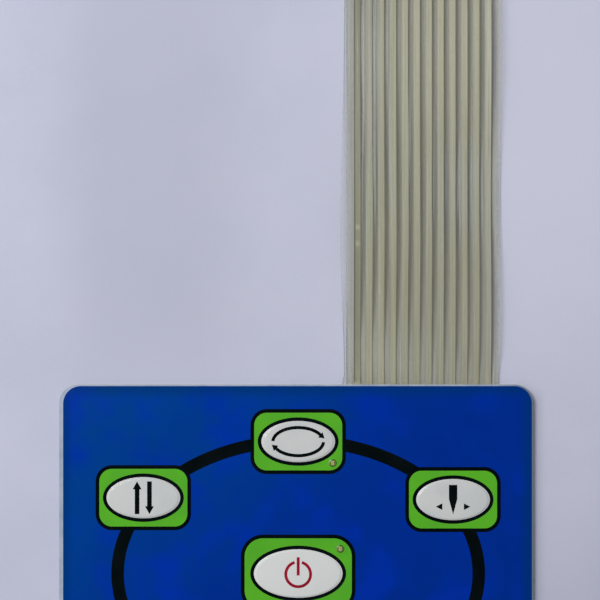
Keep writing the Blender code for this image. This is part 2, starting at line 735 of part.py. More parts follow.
def make_common_line():
    """Common line: round the panel's edge, with a stub to the contact ring round each pad."""
    rim_x, rim_y = half_width - LINE_EDGE_MARGIN, half_height - LINE_EDGE_MARGIN
    ring_inside = contact_ring_radius - CONTACT_RING_BAND
    path, widths = tail_run(0)
    path += [(line_x(0), rim_y), (-rim_x, rim_y), (-rim_x, -rim_y), (rim_x, -rim_y), (rim_x, UPPER_RIGHT.y),
             (UPPER_RIGHT.x + ring_inside, UPPER_RIGHT.y)]
    widths += [LINE_WIDTH] * 6
    outlines = [stroke(path, widths)]
    stubs = [
        ((TOP.x, rim_y), (TOP.x, TOP.y + ring_inside)),
        ((-rim_x, UPPER_LEFT.y), (UPPER_LEFT.x - ring_inside, UPPER_LEFT.y)),
        ((-rim_x, LOWER_LEFT.y), (LOWER_LEFT.x - ring_inside, LOWER_LEFT.y)),
        ((BOTTOM.x, -rim_y), (BOTTOM.x, BOTTOM.y - ring_inside)),
        ((rim_x, LOWER_RIGHT.y), (LOWER_RIGHT.x + ring_inside, LOWER_RIGHT.y)),
        ((BOTTOM.x, BOTTOM.y + ring_inside), (CENTRE.x, CENTRE.y - ring_inside)),
    ]
    outlines += [stroke(stub, [LINE_WIDTH] * 2) for stub in stubs]
    outlines += [contact_ring(key, ring_inside) for key in KEYS]
    silver("silver_common", outlines)


def contact_ring(key, ring_inside):
    """Open ring for a dome's rim, with a gap that lets the pad's line out."""
    gap_half = LINE_WIDTH / 2 + LINE_CLEARANCE
    half_angle = math.asin(gap_half / ring_inside)
    start, end = key.opening + half_angle, key.opening + 2 * math.pi - half_angle
    middle = (contact_ring_radius + ring_inside) / 2
    path = arc(key.x, key.y, middle, middle, start, end, CIRCLE_FACETS)
    return stroke(path, [CONTACT_RING_BAND] * len(path))


def make_silver_lines():
    """All twelve lines in their order across the tail, nested so that none crosses another."""
    def over(index, y):
        return [(line_x(index), row_y(index)), (column_x(index), row_y(index)), (column_x(index), y)]

    beside_x = (LOWER_LEFT.x + CENTRE.x) / 2
    below_y = UPPER_LEFT.y - LINE_WIDTH - LINE_CLEARANCE
    make_common_line()
    make_key_line(TOP, 1, over(1, TOP.y))
    make_lamp_line(TOP_LAMP, 2, 1, "_plus")
    make_lamp_line(TOP_LAMP, 3, -1, "_minus")
    make_key_line(UPPER_LEFT, 4, over(4, UPPER_LEFT.y))
    make_key_line(LOWER_LEFT, 5, over(5, below_y) + [(beside_x, below_y), (beside_x, LOWER_LEFT.y)])
    make_lamp_line(CENTRE_LAMP, 6, 1, "_plus")
    make_lamp_line(CENTRE_LAMP, 7, -1, "_minus")
    make_key_line(CENTRE, 8, over(8, CENTRE.y))
    make_key_line(BOTTOM, 9, over(9, BOTTOM.y))
    make_key_line(LOWER_RIGHT, 10, over(10, LOWER_RIGHT.y))
    make_key_line(UPPER_RIGHT, 11, [(line_x(11), row_y(11)), (UPPER_RIGHT.x, row_y(11))])


# Connector at the end of the tail


def make_cutter(name, mesh):
    cutter = add_object(name, mesh, [])
    cutter.hide_render = True
    cutter.display_type = "WIRE"
    return cutter


def cut_from(piece, cutter):
    modifier = piece.modifiers.new(cutter.name, "BOOLEAN")
    modifier.operation = "DIFFERENCE"
    modifier.object = cutter


def make_connector_housing():
    """Moulded housing: a mouth for the tail's tip at the rear and a cavity for each terminal at the front."""
    through = HOUSING_MOUTH_OVERLAP
    mouth_half = tip_half_width + TERMINAL_CLEARANCE
    outer_half = mouth_half + HOUSING_END_WALL
    mesh = bmesh.new()
    box(mesh, tail_x - outer_half, housing_rear, 0.0, tail_x + outer_half, housing_front, HOUSING_HEIGHT)
    bmesh.ops.bevel(
        mesh, geom=mesh.edges[:], offset=HOUSING_EDGE_BEVEL, segments=1, affect="EDGES", clamp_overlap=True
    )
    housing = add_object("connector_housing", mesh, [HOUSING_PLASTIC])

    mesh = bmesh.new()
    mouth_end = tail_end + LINE_END_MARGIN
    box(mesh, tail_x - mouth_half, housing_rear - through, HOUSING_WALL,
        tail_x + mouth_half, mouth_end, HOUSING_HEIGHT - HOUSING_WALL)
    cut_from(housing, make_cutter("mouth_cutter", mesh))

    mesh = bmesh.new()
    for index in range(LINE_COUNT):
        left = line_x(index) - CAVITY_WIDTH / 2
        box(mesh, left, mouth_end - TERMINAL_RECESS, HOUSING_HEIGHT / 2 - CAVITY_WIDTH / 2,
            left + CAVITY_WIDTH, housing_front + through, HOUSING_HEIGHT / 2 + CAVITY_WIDTH / 2)
    cut_from(housing, make_cutter("cavity_cutter", mesh))

    mesh = bmesh.new()
    window_front = housing_front - LATCH_WINDOW_SETBACK
    for index in range(LINE_COUNT):
        left = line_x(index) - LATCH_WINDOW_WIDTH / 2
        box(mesh, left, window_front - LATCH_WINDOW_LENGTH, HOUSING_HEIGHT / 2,
            left + LATCH_WINDOW_WIDTH, window_front, 2 * HOUSING_HEIGHT)
    cut_from(housing, make_cutter("window_cutter", mesh))
    return housing


def split_faces(mesh, chosen, places, normal):
    """Cut the chosen faces with parallel planes through the given places."""
    for place in places:
        faces = [face for face in mesh.faces if chosen(face)]
        edges = {edge for face in faces for edge in face.edges}
        bmesh.ops.bisect_plane(mesh, geom=faces + list(edges), plane_co=place, plane_no=normal)


def make_terminal(index):
    """Socket terminal: an open box with a locking lance, and two jaws that grip the film's end."""
    x = line_x(index)
    half = CAVITY_WIDTH / 2 - TERMINAL_CLEARANCE
    middle_z = HOUSING_HEIGHT / 2
    film_half = CIRCUIT_FILM_THICKNESS / 2
    lower_jaw_top = middle_z - film_half - TERMINAL_GRIP_GAP
    upper_jaw_bottom = middle_z + film_half + BOND_GAP + SILVER_THICKNESS + TERMINAL_GRIP_GAP
    mesh = bmesh.new()
    box(mesh, x - half, terminal_back, middle_z - half, x + half, terminal_front, middle_z + half)
    front = face_at(mesh, (0, 1, 0), (x, terminal_front, middle_z))
    bmesh.ops.inset_region(mesh, faces=[front], thickness=TERMINAL_SHEET)
    draw_out(mesh, front, (0, TERMINAL_SHEET - TERMINAL_LENGTH, 0))

    jaw_bottoms = (lower_jaw_top - TERMINAL_SHEET, upper_jaw_bottom)
    levels = [(x, 0, z) for bottom in jaw_bottoms for z in (bottom, bottom + TERMINAL_SHEET)]
    split_faces(mesh, lambda face: face.calc_center_median().y < terminal_back + BOND_GAP, levels, (0, 0, 1))
    for jaw_bottom in jaw_bottoms:
        jaw = face_at(mesh, (0, -1, 0), (x, terminal_back, jaw_bottom + TERMINAL_SHEET / 2))
        draw_out(mesh, jaw, (0, -TERMINAL_JAW_LENGTH, 0))

    top_z = middle_z + half
    lance_front = housing_front - LATCH_WINDOW_SETBACK - (LATCH_WINDOW_LENGTH - LANCE_LENGTH) / 2
    lance_ends = [(x, lance_front - LANCE_LENGTH, top_z), (x, lance_front, top_z)]
    lance_sides = [(x - LANCE_WIDTH / 2, 0, top_z), (x + LANCE_WIDTH / 2, 0, top_z)]
    split_faces(mesh, lambda face: face.calc_center_median().z > top_z - BOND_GAP, lance_ends, (0, 1, 0))
    split_faces(mesh, lambda face: face.calc_center_median().z > top_z - BOND_GAP, lance_sides, (1, 0, 0))
    lance = face_at(mesh, (0, 0, 1), (x, lance_front - LANCE_LENGTH / 2, top_z))
    draw_out(mesh, lance, (0, 0, LANCE_HEIGHT))
    return add_object(f"terminal_{index + 1:02d}", mesh, [TERMINAL_METAL])


for old in list(bpy.data.objects):
    bpy.data.objects.remove(old, do_unlink=True)

INKS = {
    "blue": make_material("overlay_blue", (0.003, 0.035, 0.36), 0.35),
    "black": make_material("overlay_black", (0.006, 0.006, 0.008), 0.35),
    "green": make_material("overlay_green", (0.085, 0.40, 0.027), 0.35),
    "white": make_material("overlay_white", (0.60, 0.62, 0.61), 0.35),
    "red": make_material("overlay_red", (0.36, 0.010, 0.03), 0.35),
    "clear": make_material("overlay_clear", (0.55, 0.50, 0.36), 0.15),
}
ADHESIVE = make_material("adhesive", (0.70, 0.68, 0.60), 0.4)
SPACER_FILM = make_material("spacer_film", (0.75, 0.77, 0.76), 0.3)
LINER_PAPER = make_material("liner_paper", (0.72, 0.66, 0.50), 0.6)
CLEAR_FILM = make_material("clear_film", (0.62, 0.65, 0.66), 0.2, alpha=0.4)
SILVER_INK = make_material("silver_ink", (0.34, 0.34, 0.28), 0.5, metallic=0.3)
DOME_STEEL = make_material("dome_steel", (0.62, 0.61, 0.58), 0.25, metallic=1.0)
LAMP_RESIN = make_material("lamp_resin", (0.72, 0.62, 0.36), 0.3)
HOUSING_PLASTIC = make_material("housing_plastic", (0.012, 0.012, 0.013), 0.45)
TERMINAL_METAL = make_material("terminal_metal", (0.60, 0.57, 0.50), 0.3, metallic=1.0)

KEYPAD = bpy.data.objects.new("keypad", None)
bpy.context.scene.collection.objects.link(KEYPAD)

make_rear_films()
make_circuit_film()
make_silver_lines()
make_tail_cover()
make_spacer()
for key in KEYS:
    make_snap_dome(key)
for lamp in LAMPS:
    make_lamp(lamp)
make_overlay_adhesive()
make_graphic_overlay()
make_connector_housing()
for line in range(LINE_COUNT):
    make_terminal(line)
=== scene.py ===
"""Looks of the membrane keypad: printed overlay, clear film tail with silver lines, lamps and connector."""

import math
from collections import namedtuple

import bmesh
import bpy
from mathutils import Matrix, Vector
from mathutils.geometry import delaunay_2d_cdt


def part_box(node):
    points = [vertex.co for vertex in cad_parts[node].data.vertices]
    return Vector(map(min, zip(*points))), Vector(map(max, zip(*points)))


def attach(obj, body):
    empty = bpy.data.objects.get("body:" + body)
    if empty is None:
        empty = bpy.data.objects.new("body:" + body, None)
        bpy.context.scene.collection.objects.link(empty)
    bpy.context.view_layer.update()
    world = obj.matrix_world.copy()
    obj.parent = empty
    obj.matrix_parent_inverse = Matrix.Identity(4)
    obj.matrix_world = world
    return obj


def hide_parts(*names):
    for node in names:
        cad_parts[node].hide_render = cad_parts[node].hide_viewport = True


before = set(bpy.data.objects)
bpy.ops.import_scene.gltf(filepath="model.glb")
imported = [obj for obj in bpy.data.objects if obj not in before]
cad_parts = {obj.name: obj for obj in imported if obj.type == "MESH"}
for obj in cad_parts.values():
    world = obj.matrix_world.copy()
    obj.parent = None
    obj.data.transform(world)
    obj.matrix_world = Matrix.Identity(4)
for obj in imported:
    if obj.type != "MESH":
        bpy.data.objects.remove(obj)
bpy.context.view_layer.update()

# Printed fields of the overlay, in metres: a key has a width, a height and a corner radius
SMALL_KEY = (0.0204, 0.0139, 0.0035)
SMALL_OVAL = (0.0173, 0.01035)
CENTRE_KEY = (0.0245, 0.0166, 0.0047)
CENTRE_OVAL = (0.0205, 0.0119)
KEY_LINE = 0.00079
OVAL_LINE = 0.00077
RING_BAND = 0.0027
RING_SIDE_OUTSET = 0.0055
RING_END_OUTSET = 0.00015
PRINT_SKEW = -0.0061
BARE_RIM = 0.00034
BARE_RIM_LEFT = 0.00085
PANEL_CORNER_RADIUS = 0.0041

# Raised ovals and lamp windows
EMBOSS_HEIGHT = 0.0002
EMBOSS_SHOULDER = 0.00038
WINDOW_RADIUS = 0.00086
WINDOW_HEIGHT = 0.0002
WINDOW_RIM = 0.00024
# Where the painted highlight sits on each window's shoulder, from the lamp's middle
WINDOW_LIT_SIDE = (-0.0007, 0.0002)

# Printed symbols
ARROW_SPREAD = 0.00132
ARROW_HEIGHT = 0.0070
ARROW_SHAFT = 0.0010
ARROW_HEAD_WIDTH = 0.0019
ARROW_HEAD_LENGTH = 0.0017
TURN_HALF_WIDTH = 0.0054
TURN_HALF_HEIGHT = 0.0030
TURN_STROKE = 0.0007
TURN_START_ANGLE = math.radians(2)
TURN_HEAD_ANGLE = math.radians(29)
TURN_HEAD_LENGTH = 0.0012
TURN_HEAD_WIDTH = 0.0015
NEEDLE_WIDTH = 0.0018
NEEDLE_SHOULDER = 0.0030
NEEDLE_LENGTH = 0.0063
SIDE_MARK_OFFSET = 0.0030
SIDE_MARK_SIZE = 0.0014
POWER_RADIUS = 0.00265
POWER_STROKE = 0.00063
POWER_DROP = 0.00015
POWER_GAP_ANGLE = math.radians(34)
POWER_BAR_LENGTH = 0.0039
POWER_BAR_RISE = 0.0010
PLAIN_MARK_SIZE = 0.0044
PLAIN_MARK_STROKE = 0.0009

# Films
DOME_HOLE_RADIUS = 0.0063
LAMP_HOLE_RADIUS = 0.0012
VENT_WIDTH = 0.0010
NOTCH_CLEARANCE = 0.0004
CUT_EDGE = 0.00010
LAYER_INSET = 0.00004
FILM_GAP = 0.00001
OVERLAY_THICKNESS = 0.00025
CIRCUIT_FILM_THICKNESS = 0.000125
COVER_THICKNESS = 0.0001
COVER_LIFT = 0.00004

# Tail
TAIL_CREST_DISTANCE = 0.030
TAIL_CREST_HEIGHT = 0.0019
TAIL_VALLEY_DISTANCE = 0.078
TAIL_VALLEY_HEIGHT = 0.0009
TAIL_TIP_LENGTH = 0.0060
TAIL_TIP_MARGIN = 0.0017
TWIST_HEIGHT = 0.00085
TWIST_LENGTH = 0.068
TWIST_PLACE = 0.113
TWIST_EASE = 0.010
CROWN_DROP = 0.0007
CROWN_PLACE = 0.082
CROWN_REACH = 0.034
BULGE = 0.0008
BULGE_PLACE = 0.0713
BULGE_REACH = (0.029, 0.047)
EDGE_SLANT = 0.0088
EDGE_SLANT_PLACE = 0.078
LOWEST_FILM = 0.00008
COVER_TONGUE = 0.0050
STRAIGHT_EDGE_START = 0.010
LINE_COUNT = 12
LINE_HALF_WIDTH = 0.0007
PALE_SPOTS = (0.0705, 0.0740)
# A patch where the gaps between the lines are painted brighter
BRIGHT_GAP_PATCH = (0.0372, 0.0815)
BRIGHT_GAP_PATCH_RADIUS = 0.015
STATION_SPACING = 0.0010
COLUMN_SPACING = 0.00127

# Lamps and connector
DIE_RADIUS = 0.00016
LAMP_BASE_HEIGHT = 0.00018
LAMP_CAP_LENGTH = 0.00028
LAMP_LENS_INSET = 0.00006
LAMP_LENS_ROUND = 0.00010
LAMP_PLATING = 0.00002
HOUSING_WALL = 0.0005
HOUSING_END_WALL = 0.0011
HOUSING_FRONT_LENGTH = 0.0082
HOUSING_EDGE_ROUND = 0.00025
HOUSING_CUT_ROUND = 0.00004
TERMINAL_CLEARANCE = 0.00012
LATCH_WINDOW_WIDTH = 0.0012
LATCH_WINDOW_LENGTH = 0.0020
LATCH_WINDOW_SETBACK = 0.0030
FLARE = 0.00012

# Facets along round outlines
CORNER_FACETS = 16
OVAL_FACETS = 96
RING_FACETS = 288
HOLE_FACETS = 48
WINDOW_FACETS = 40
TURN_FACETS = 40
POWER_FACETS = 72
SHOULDER_STEPS = 8
WINDOW_STEPS = 7

# Photograph: its scale, and where the centre key's middle lies in it
PHOTO_WIDTH = 600
PIXELS_PER_METRE = 4665.0
CENTRE_KEY_PIXEL = (298.2, 572.7)
CAMERA_DISTANCE = 0.42
SENSOR_WIDTH = 36.0

EAST = 0.0
NORTH = math.pi / 2
WEST = math.pi


def node_middle(name):
    low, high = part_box(name)
    return (low + high) / 2


_, liner_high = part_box("release_liner")
_, film_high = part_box("circuit_film")
cover_low, cover_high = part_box("tail_cover")
half_width = liner_high.x
half_height = liner_high.y
tail_end = film_high.y
first_line, last_line = node_middle("terminal_01"), node_middle("terminal_12")
tail_x = (first_line.x + last_line.x) / 2
line_pitch = (last_line.x - first_line.x) / (LINE_COUNT - 1)
tip_start = tail_end - TAIL_TIP_LENGTH
tail_half_width = (last_line.x - first_line.x) / 2 + line_pitch
overlay_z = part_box("overlay_adhesive")[1].z + FILM_GAP

Key = namedtuple("Key", "name x y width height corner oval_width oval_height")
Layer = namedtuple("Layer", "bottom thickness")


def key_over(name, size, oval):
    """A key's fields, centred over its dome but for the slight skew of the print."""
    place = node_middle("snap_dome_" + name)
    skewed = PRINT_SKEW * (place.x - node_middle("snap_dome_centre").x)
    return Key(name, place.x, place.y + skewed, *size, *oval)


TOP = key_over("top", SMALL_KEY, SMALL_OVAL)
UPPER_LEFT = key_over("upper_left", SMALL_KEY, SMALL_OVAL)
UPPER_RIGHT = key_over("upper_right", SMALL_KEY, SMALL_OVAL)
CENTRE = key_over("centre", CENTRE_KEY, CENTRE_OVAL)
LOWER_LEFT = key_over("lower_left", SMALL_KEY, SMALL_OVAL)
LOWER_RIGHT = key_over("lower_right", SMALL_KEY, SMALL_OVAL)
BOTTOM = key_over("bottom", SMALL_KEY, SMALL_OVAL)
KEYS = (TOP, UPPER_LEFT, UPPER_RIGHT, CENTRE, LOWER_LEFT, LOWER_RIGHT, BOTTOM)
DOMES = [node_middle("snap_dome_" + key.name) for key in KEYS]
LAMPS = (node_middle("lamp_top"), node_middle("lamp_centre"))


def flat_layer(name):
    low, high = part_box(name)
    return Layer(low.z, high.z - low.z)


# Heights


def eased(share):
    """A step from 0 to 1 that starts and ends level."""
    share = min(max(share, 0.0), 1.0)
    return share * share * (3 - 2 * share)


circuit_film_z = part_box("rear_adhesive")[1].z + FILM_GAP
tip_height = node_middle("connector_housing").z - CIRCUIT_FILM_THICKNESS / 2


def tail_rise(y):
    """Lift of the tail: over a crest, down into a valley and up into the connector."""
    crest_y = half_height + TAIL_CREST_DISTANCE
    valley_y = half_height + TAIL_VALLEY_DISTANCE
    height = circuit_film_z
    height += (TAIL_CREST_HEIGHT - circuit_film_z) * eased((y - half_height) / TAIL_CREST_DISTANCE)
    height += (TAIL_VALLEY_HEIGHT - TAIL_CREST_HEIGHT) * eased((y - crest_y) / (valley_y - crest_y))
    height += (tip_height - TAIL_VALLEY_HEIGHT) * eased((y - valley_y) / (tip_start - valley_y))
    return height - circuit_film_z


def twisted_rise(x, y):
    """The tail's lift with its slight twist, and the stretch where its edges hang lower than its middle."""
    across = (x - tail_x) / tail_half_width
    held = eased((y - half_height) / TWIST_EASE) * eased((tip_start - y) / (2 * TWIST_EASE))
    turn = math.cos(2 * math.pi * (y - TWIST_PLACE) / TWIST_LENGTH)
    crown = eased(1 - abs(y - CROWN_PLACE) / CROWN_REACH)
    rise = tail_rise(y) + (TWIST_HEIGHT * across * turn - CROWN_DROP * across * across * crown) * held
    return max(rise, LOWEST_FILM - circuit_film_z) if y > half_height else rise


def level(x, y):
    return 0.0


def oval_depth(key, x, y):
    """How far inside the oval's rim a point lies, measured towards its middle."""
    half_w = key.oval_width / 2 - OVAL_LINE
    half_h = key.oval_height / 2 - OVAL_LINE
    share = math.hypot((x - key.x) / half_w, (y - key.y) / half_h)
    return (1 - share) * half_h


def emboss(x, y):
    """Height of the overlay's raised ovals and lamp windows at a point."""
    for lamp in LAMPS:
        inside = 1 - math.hypot(x - lamp.x, y - lamp.y) / WINDOW_RADIUS
        if inside > 0:
            return WINDOW_HEIGHT * math.sin(inside * math.pi / 2)
    return EMBOSS_HEIGHT * max(eased(oval_depth(key, x, y) / EMBOSS_SHOULDER) for key in KEYS)


# Flat outlines, each a list of points that runs anticlockwise


def ellipse(x, y, half_w, half_h, facets):
    angles = [2 * math.pi * i / facets for i in range(facets)]
    return [(x + half_w * math.cos(a), y + half_h * math.sin(a)) for a in angles]


def circle(x, y, radius, facets=HOLE_FACETS):
    return ellipse(x, y, radius, radius, facets)


def rectangle(left, lower, right, upper):
    return [(left, lower), (right, lower), (right, upper), (left, upper)]


def rounded_rectangle(x, y, width, height, radius):
    points = []
    for quarter, (side_x, side_y) in enumerate([(1, 1), (-1, 1), (-1, -1), (1, -1)]):
        corner_x = x + side_x * (width / 2 - radius)
        corner_y = y + side_y * (height / 2 - radius)
        for step in range(CORNER_FACETS + 1):
            angle = (quarter + step / CORNER_FACETS) * math.pi / 2
            points.append((corner_x + radius * math.cos(angle), corner_y + radius * math.sin(angle)))
    return points


def turned(points, x, y, angle):
    """Points given about the origin, turned by an angle and moved to a place."""
    c, s = math.cos(angle), math.sin(angle)
    return [(x + c * px - s * py, y + s * px + c * py) for px, py in points]


def anticlockwise(points):
    following = points[1:] + points[:1]
    area = sum(a[0] * b[1] - b[0] * a[1] for a, b in zip(points, following))
    return points if area > 0 else points[::-1]


def stroke(path, width):
    """Outline of a line of even width drawn along a path."""
    steps = [(Vector(b) - Vector(a)).normalized() for a, b in zip(path, path[1:])]
    steps = [steps[0]] + steps + [steps[-1]]
    left, right = [], []
    for point, before, after in zip(path, steps, steps[1:]):
        along = (before + after).normalized()
        across = Vector((-along.y, along.x)) * (width / 2 / along.dot(after))
        left.append(tuple(Vector(point) + across))
        right.append(tuple(Vector(point) - across))
    return anticlockwise(right + left[::-1])


def arc(x, y, half_w, half_h, start, end, steps):
    angles = [start + (end - start) * i / steps for i in range(steps + 1)]
    return [(x + half_w * math.cos(a), y + half_h * math.sin(a)) for a in angles]


def panel_outline(inset=0.0):
    return rounded_rectangle(
        0, 0, 2 * (half_width - inset), 2 * (half_height - inset), PANEL_CORNER_RADIUS - inset
    )


def bulge(y):
    """How far in from its straight edge the circuit film's left side is cut at a place along the tail."""
    reach = BULGE_REACH[0] if y < BULGE_PLACE else BULGE_REACH[1]
    held = eased((y - half_height) / TWIST_EASE * 4) * eased((tip_start - y) / TWIST_EASE)
    return BULGE * (0.5 - eased(1 - abs(y - BULGE_PLACE) / reach)) * held


def slant(y):
    """How far out from its straight edge the circuit film's right side is cut at a place along the tail."""
    return EDGE_SLANT * (y - EDGE_SLANT_PLACE)


def tail_stations():
    """Places along the tail where its films bend."""
    count = round((tip_start - half_height) / STATION_SPACING)
    return [half_height + (tip_start - half_height) * i / count for i in range(count + 1)]


# Printed artwork of the overlay, in the order in which its inks cover each other


def arrow(x, tip_y, direction):
    head_y = tip_y - direction * ARROW_HEAD_LENGTH
    tail_y = tip_y - direction * ARROW_HEIGHT
    half_head, half_shaft = ARROW_HEAD_WIDTH / 2, ARROW_SHAFT / 2
    points = [
        (x, tip_y), (x - half_head, head_y), (x - half_shaft, head_y), (x - half_shaft, tail_y),
        (x + half_shaft, tail_y), (x + half_shaft, head_y), (x + half_head, head_y),
    ]
    return anticlockwise(points)


def turning_arrows(key):
    """Two curved arrows that chase each other clockwise round a flat ellipse."""
    shapes = []
    for start in (WEST, EAST):
        first, last = start - TURN_START_ANGLE, start - math.pi + TURN_HEAD_ANGLE
        path = arc(key.x, key.y, TURN_HALF_WIDTH, TURN_HALF_HEIGHT, first, last, TURN_FACETS)
        shapes.append(stroke(path, TURN_STROKE))
        ahead = Vector(path[-1]) - Vector(path[-3])
        head = [(TURN_HEAD_LENGTH, 0), (0, TURN_HEAD_WIDTH / 2), (0, -TURN_HEAD_WIDTH / 2)]
        shapes.append(anticlockwise(turned(head, *path[-1], math.atan2(ahead.y, ahead.x))))
    return shapes


def needle_marks(key):
    """Needle that points down between two small triangles that point outwards."""
    half = NEEDLE_WIDTH / 2
    upper = key.y + NEEDLE_LENGTH / 2
    shoulder = upper - NEEDLE_SHOULDER
    needle = [(key.x - half, upper), (key.x - half, shoulder), (key.x, upper - NEEDLE_LENGTH),
              (key.x + half, shoulder), (key.x + half, upper)]
    mark_y = key.y - SIDE_MARK_OFFSET / 2
    shapes = [anticlockwise(needle)]
    for side in (-1, 1):
        base = key.x + side * (SIDE_MARK_OFFSET - SIDE_MARK_SIZE / 2)
        mark = [(base, mark_y - SIDE_MARK_SIZE / 2), (base + side * SIDE_MARK_SIZE, mark_y),
                (base, mark_y + SIDE_MARK_SIZE / 2)]
        shapes.append(anticlockwise(mark))
    return shapes


def power_mark(key):
    """Open circle with a bar in its gap."""
    half_gap = POWER_GAP_ANGLE / 2
    y = key.y - POWER_DROP
    start, end = NORTH + half_gap, NORTH + 2 * math.pi - half_gap
    path = arc(key.x, y, POWER_RADIUS, POWER_RADIUS, start, end, POWER_FACETS)
    upper = y + POWER_RADIUS + POWER_BAR_RISE
    bar = rectangle(key.x - POWER_STROKE / 2, upper - POWER_BAR_LENGTH, key.x + POWER_STROKE / 2, upper)
    return [stroke(path, POWER_STROKE), bar]


def bar_mark(key, lengthwise):
    half, thin = PLAIN_MARK_SIZE / 2, PLAIN_MARK_STROKE / 2
    across, up = (half, thin) if lengthwise else (thin, half)
    return rectangle(key.x - across, key.y - up, key.x + across, key.y + up)


def symbols():
    """Every printed symbol with its ink."""
    half_arrow = ARROW_HEIGHT / 2
    shapes = [
        ("black", arrow(UPPER_LEFT.x - ARROW_SPREAD, UPPER_LEFT.y + half_arrow, 1)),
        ("black", arrow(UPPER_LEFT.x + ARROW_SPREAD, UPPER_LEFT.y - half_arrow, -1)),
        ("black", bar_mark(LOWER_LEFT, True)),
        ("black", bar_mark(LOWER_RIGHT, True)),
        ("black", bar_mark(LOWER_RIGHT, False)),
        ("black", circle(BOTTOM.x, BOTTOM.y, PLAIN_MARK_SIZE / 2)),
    ]
    shapes += [("black", shape) for shape in turning_arrows(TOP) + needle_marks(UPPER_RIGHT)]
    shapes += [("red", shape) for shape in power_mark(CENTRE)]
    return shapes


def overlay_artwork():
    """Ink and outline of each printed field, from the bare rim to the symbols."""
    ring_w = (UPPER_RIGHT.x - UPPER_LEFT.x) / 2 + RING_SIDE_OUTSET
    ring_h = TOP.y + RING_END_OUTSET
    half_band = RING_BAND / 2
    printed = (2 * half_width - BARE_RIM - BARE_RIM_LEFT, 2 * (half_height - BARE_RIM))
    printed_x = (BARE_RIM_LEFT - BARE_RIM) / 2
    fields = [
        ("rim", panel_outline()),
        ("blue", rounded_rectangle(printed_x, 0, *printed, PANEL_CORNER_RADIUS - BARE_RIM)),
        ("black", ellipse(CENTRE.x, 0, ring_w + half_band, ring_h + half_band, RING_FACETS)),
        ("blue", ellipse(CENTRE.x, 0, ring_w - half_band, ring_h - half_band, RING_FACETS)),
    ]
    for key in KEYS:
        inner = (key.width - 2 * KEY_LINE, key.height - 2 * KEY_LINE)
        half_w, half_h = key.oval_width / 2, key.oval_height / 2
        fields += [
            ("black", rounded_rectangle(key.x, key.y, key.width, key.height, key.corner)),
            ("green", rounded_rectangle(key.x, key.y, *inner, key.corner - KEY_LINE)),
            ("black", ellipse(key.x, key.y, half_w, half_h, OVAL_FACETS)),
            ("white", ellipse(key.x, key.y, half_w - OVAL_LINE, half_h - OVAL_LINE, OVAL_FACETS)),
        ]
    for lamp in LAMPS:
        fields.append(("window_rim", circle(lamp.x, lamp.y, WINDOW_RADIUS, WINDOW_FACETS)))
        fields.append(("window", circle(lamp.x, lamp.y, WINDOW_RADIUS - WINDOW_RIM, WINDOW_FACETS)))
    return fields + symbols()


def emboss_steps():
    """Extra outlines inside the raised forms, where their shoulders turn."""
    outlines = []
    for key in KEYS:
        half_w, half_h = key.oval_width / 2 - OVAL_LINE, key.oval_height / 2 - OVAL_LINE
        for step in range(1, SHOULDER_STEPS + 1):
            left = 1 - step / SHOULDER_STEPS * EMBOSS_SHOULDER / half_h
            outlines.append(ellipse(key.x, key.y, half_w * left, half_h * left, OVAL_FACETS))
    for lamp in LAMPS:
        for step in range(1, WINDOW_STEPS):
            radius = (WINDOW_RADIUS - WINDOW_RIM) * step / WINDOW_STEPS
            outlines.append(circle(lamp.x, lamp.y, radius, WINDOW_FACETS))
    return outlines


# Shader sockets and materials


class Value:
    """One socket of a material being made, with arithmetic that adds Math nodes."""

    def __init__(self, finish, socket):
        self.finish = finish
        self.socket = socket

    def __add__(self, other):
        return self.finish.calculate("ADD", self, other)

    def __radd__(self, other):
        return self.finish.calculate("ADD", other, self)

    def __sub__(self, other):
        return self.finish.calculate("SUBTRACT", self, other)

    def __rsub__(self, other):
        return self.finish.calculate("SUBTRACT", other, self)

    def __mul__(self, other):
        return self.finish.calculate("MULTIPLY", self, other)

    def __rmul__(self, other):
        return self.finish.calculate("MULTIPLY", other, self)


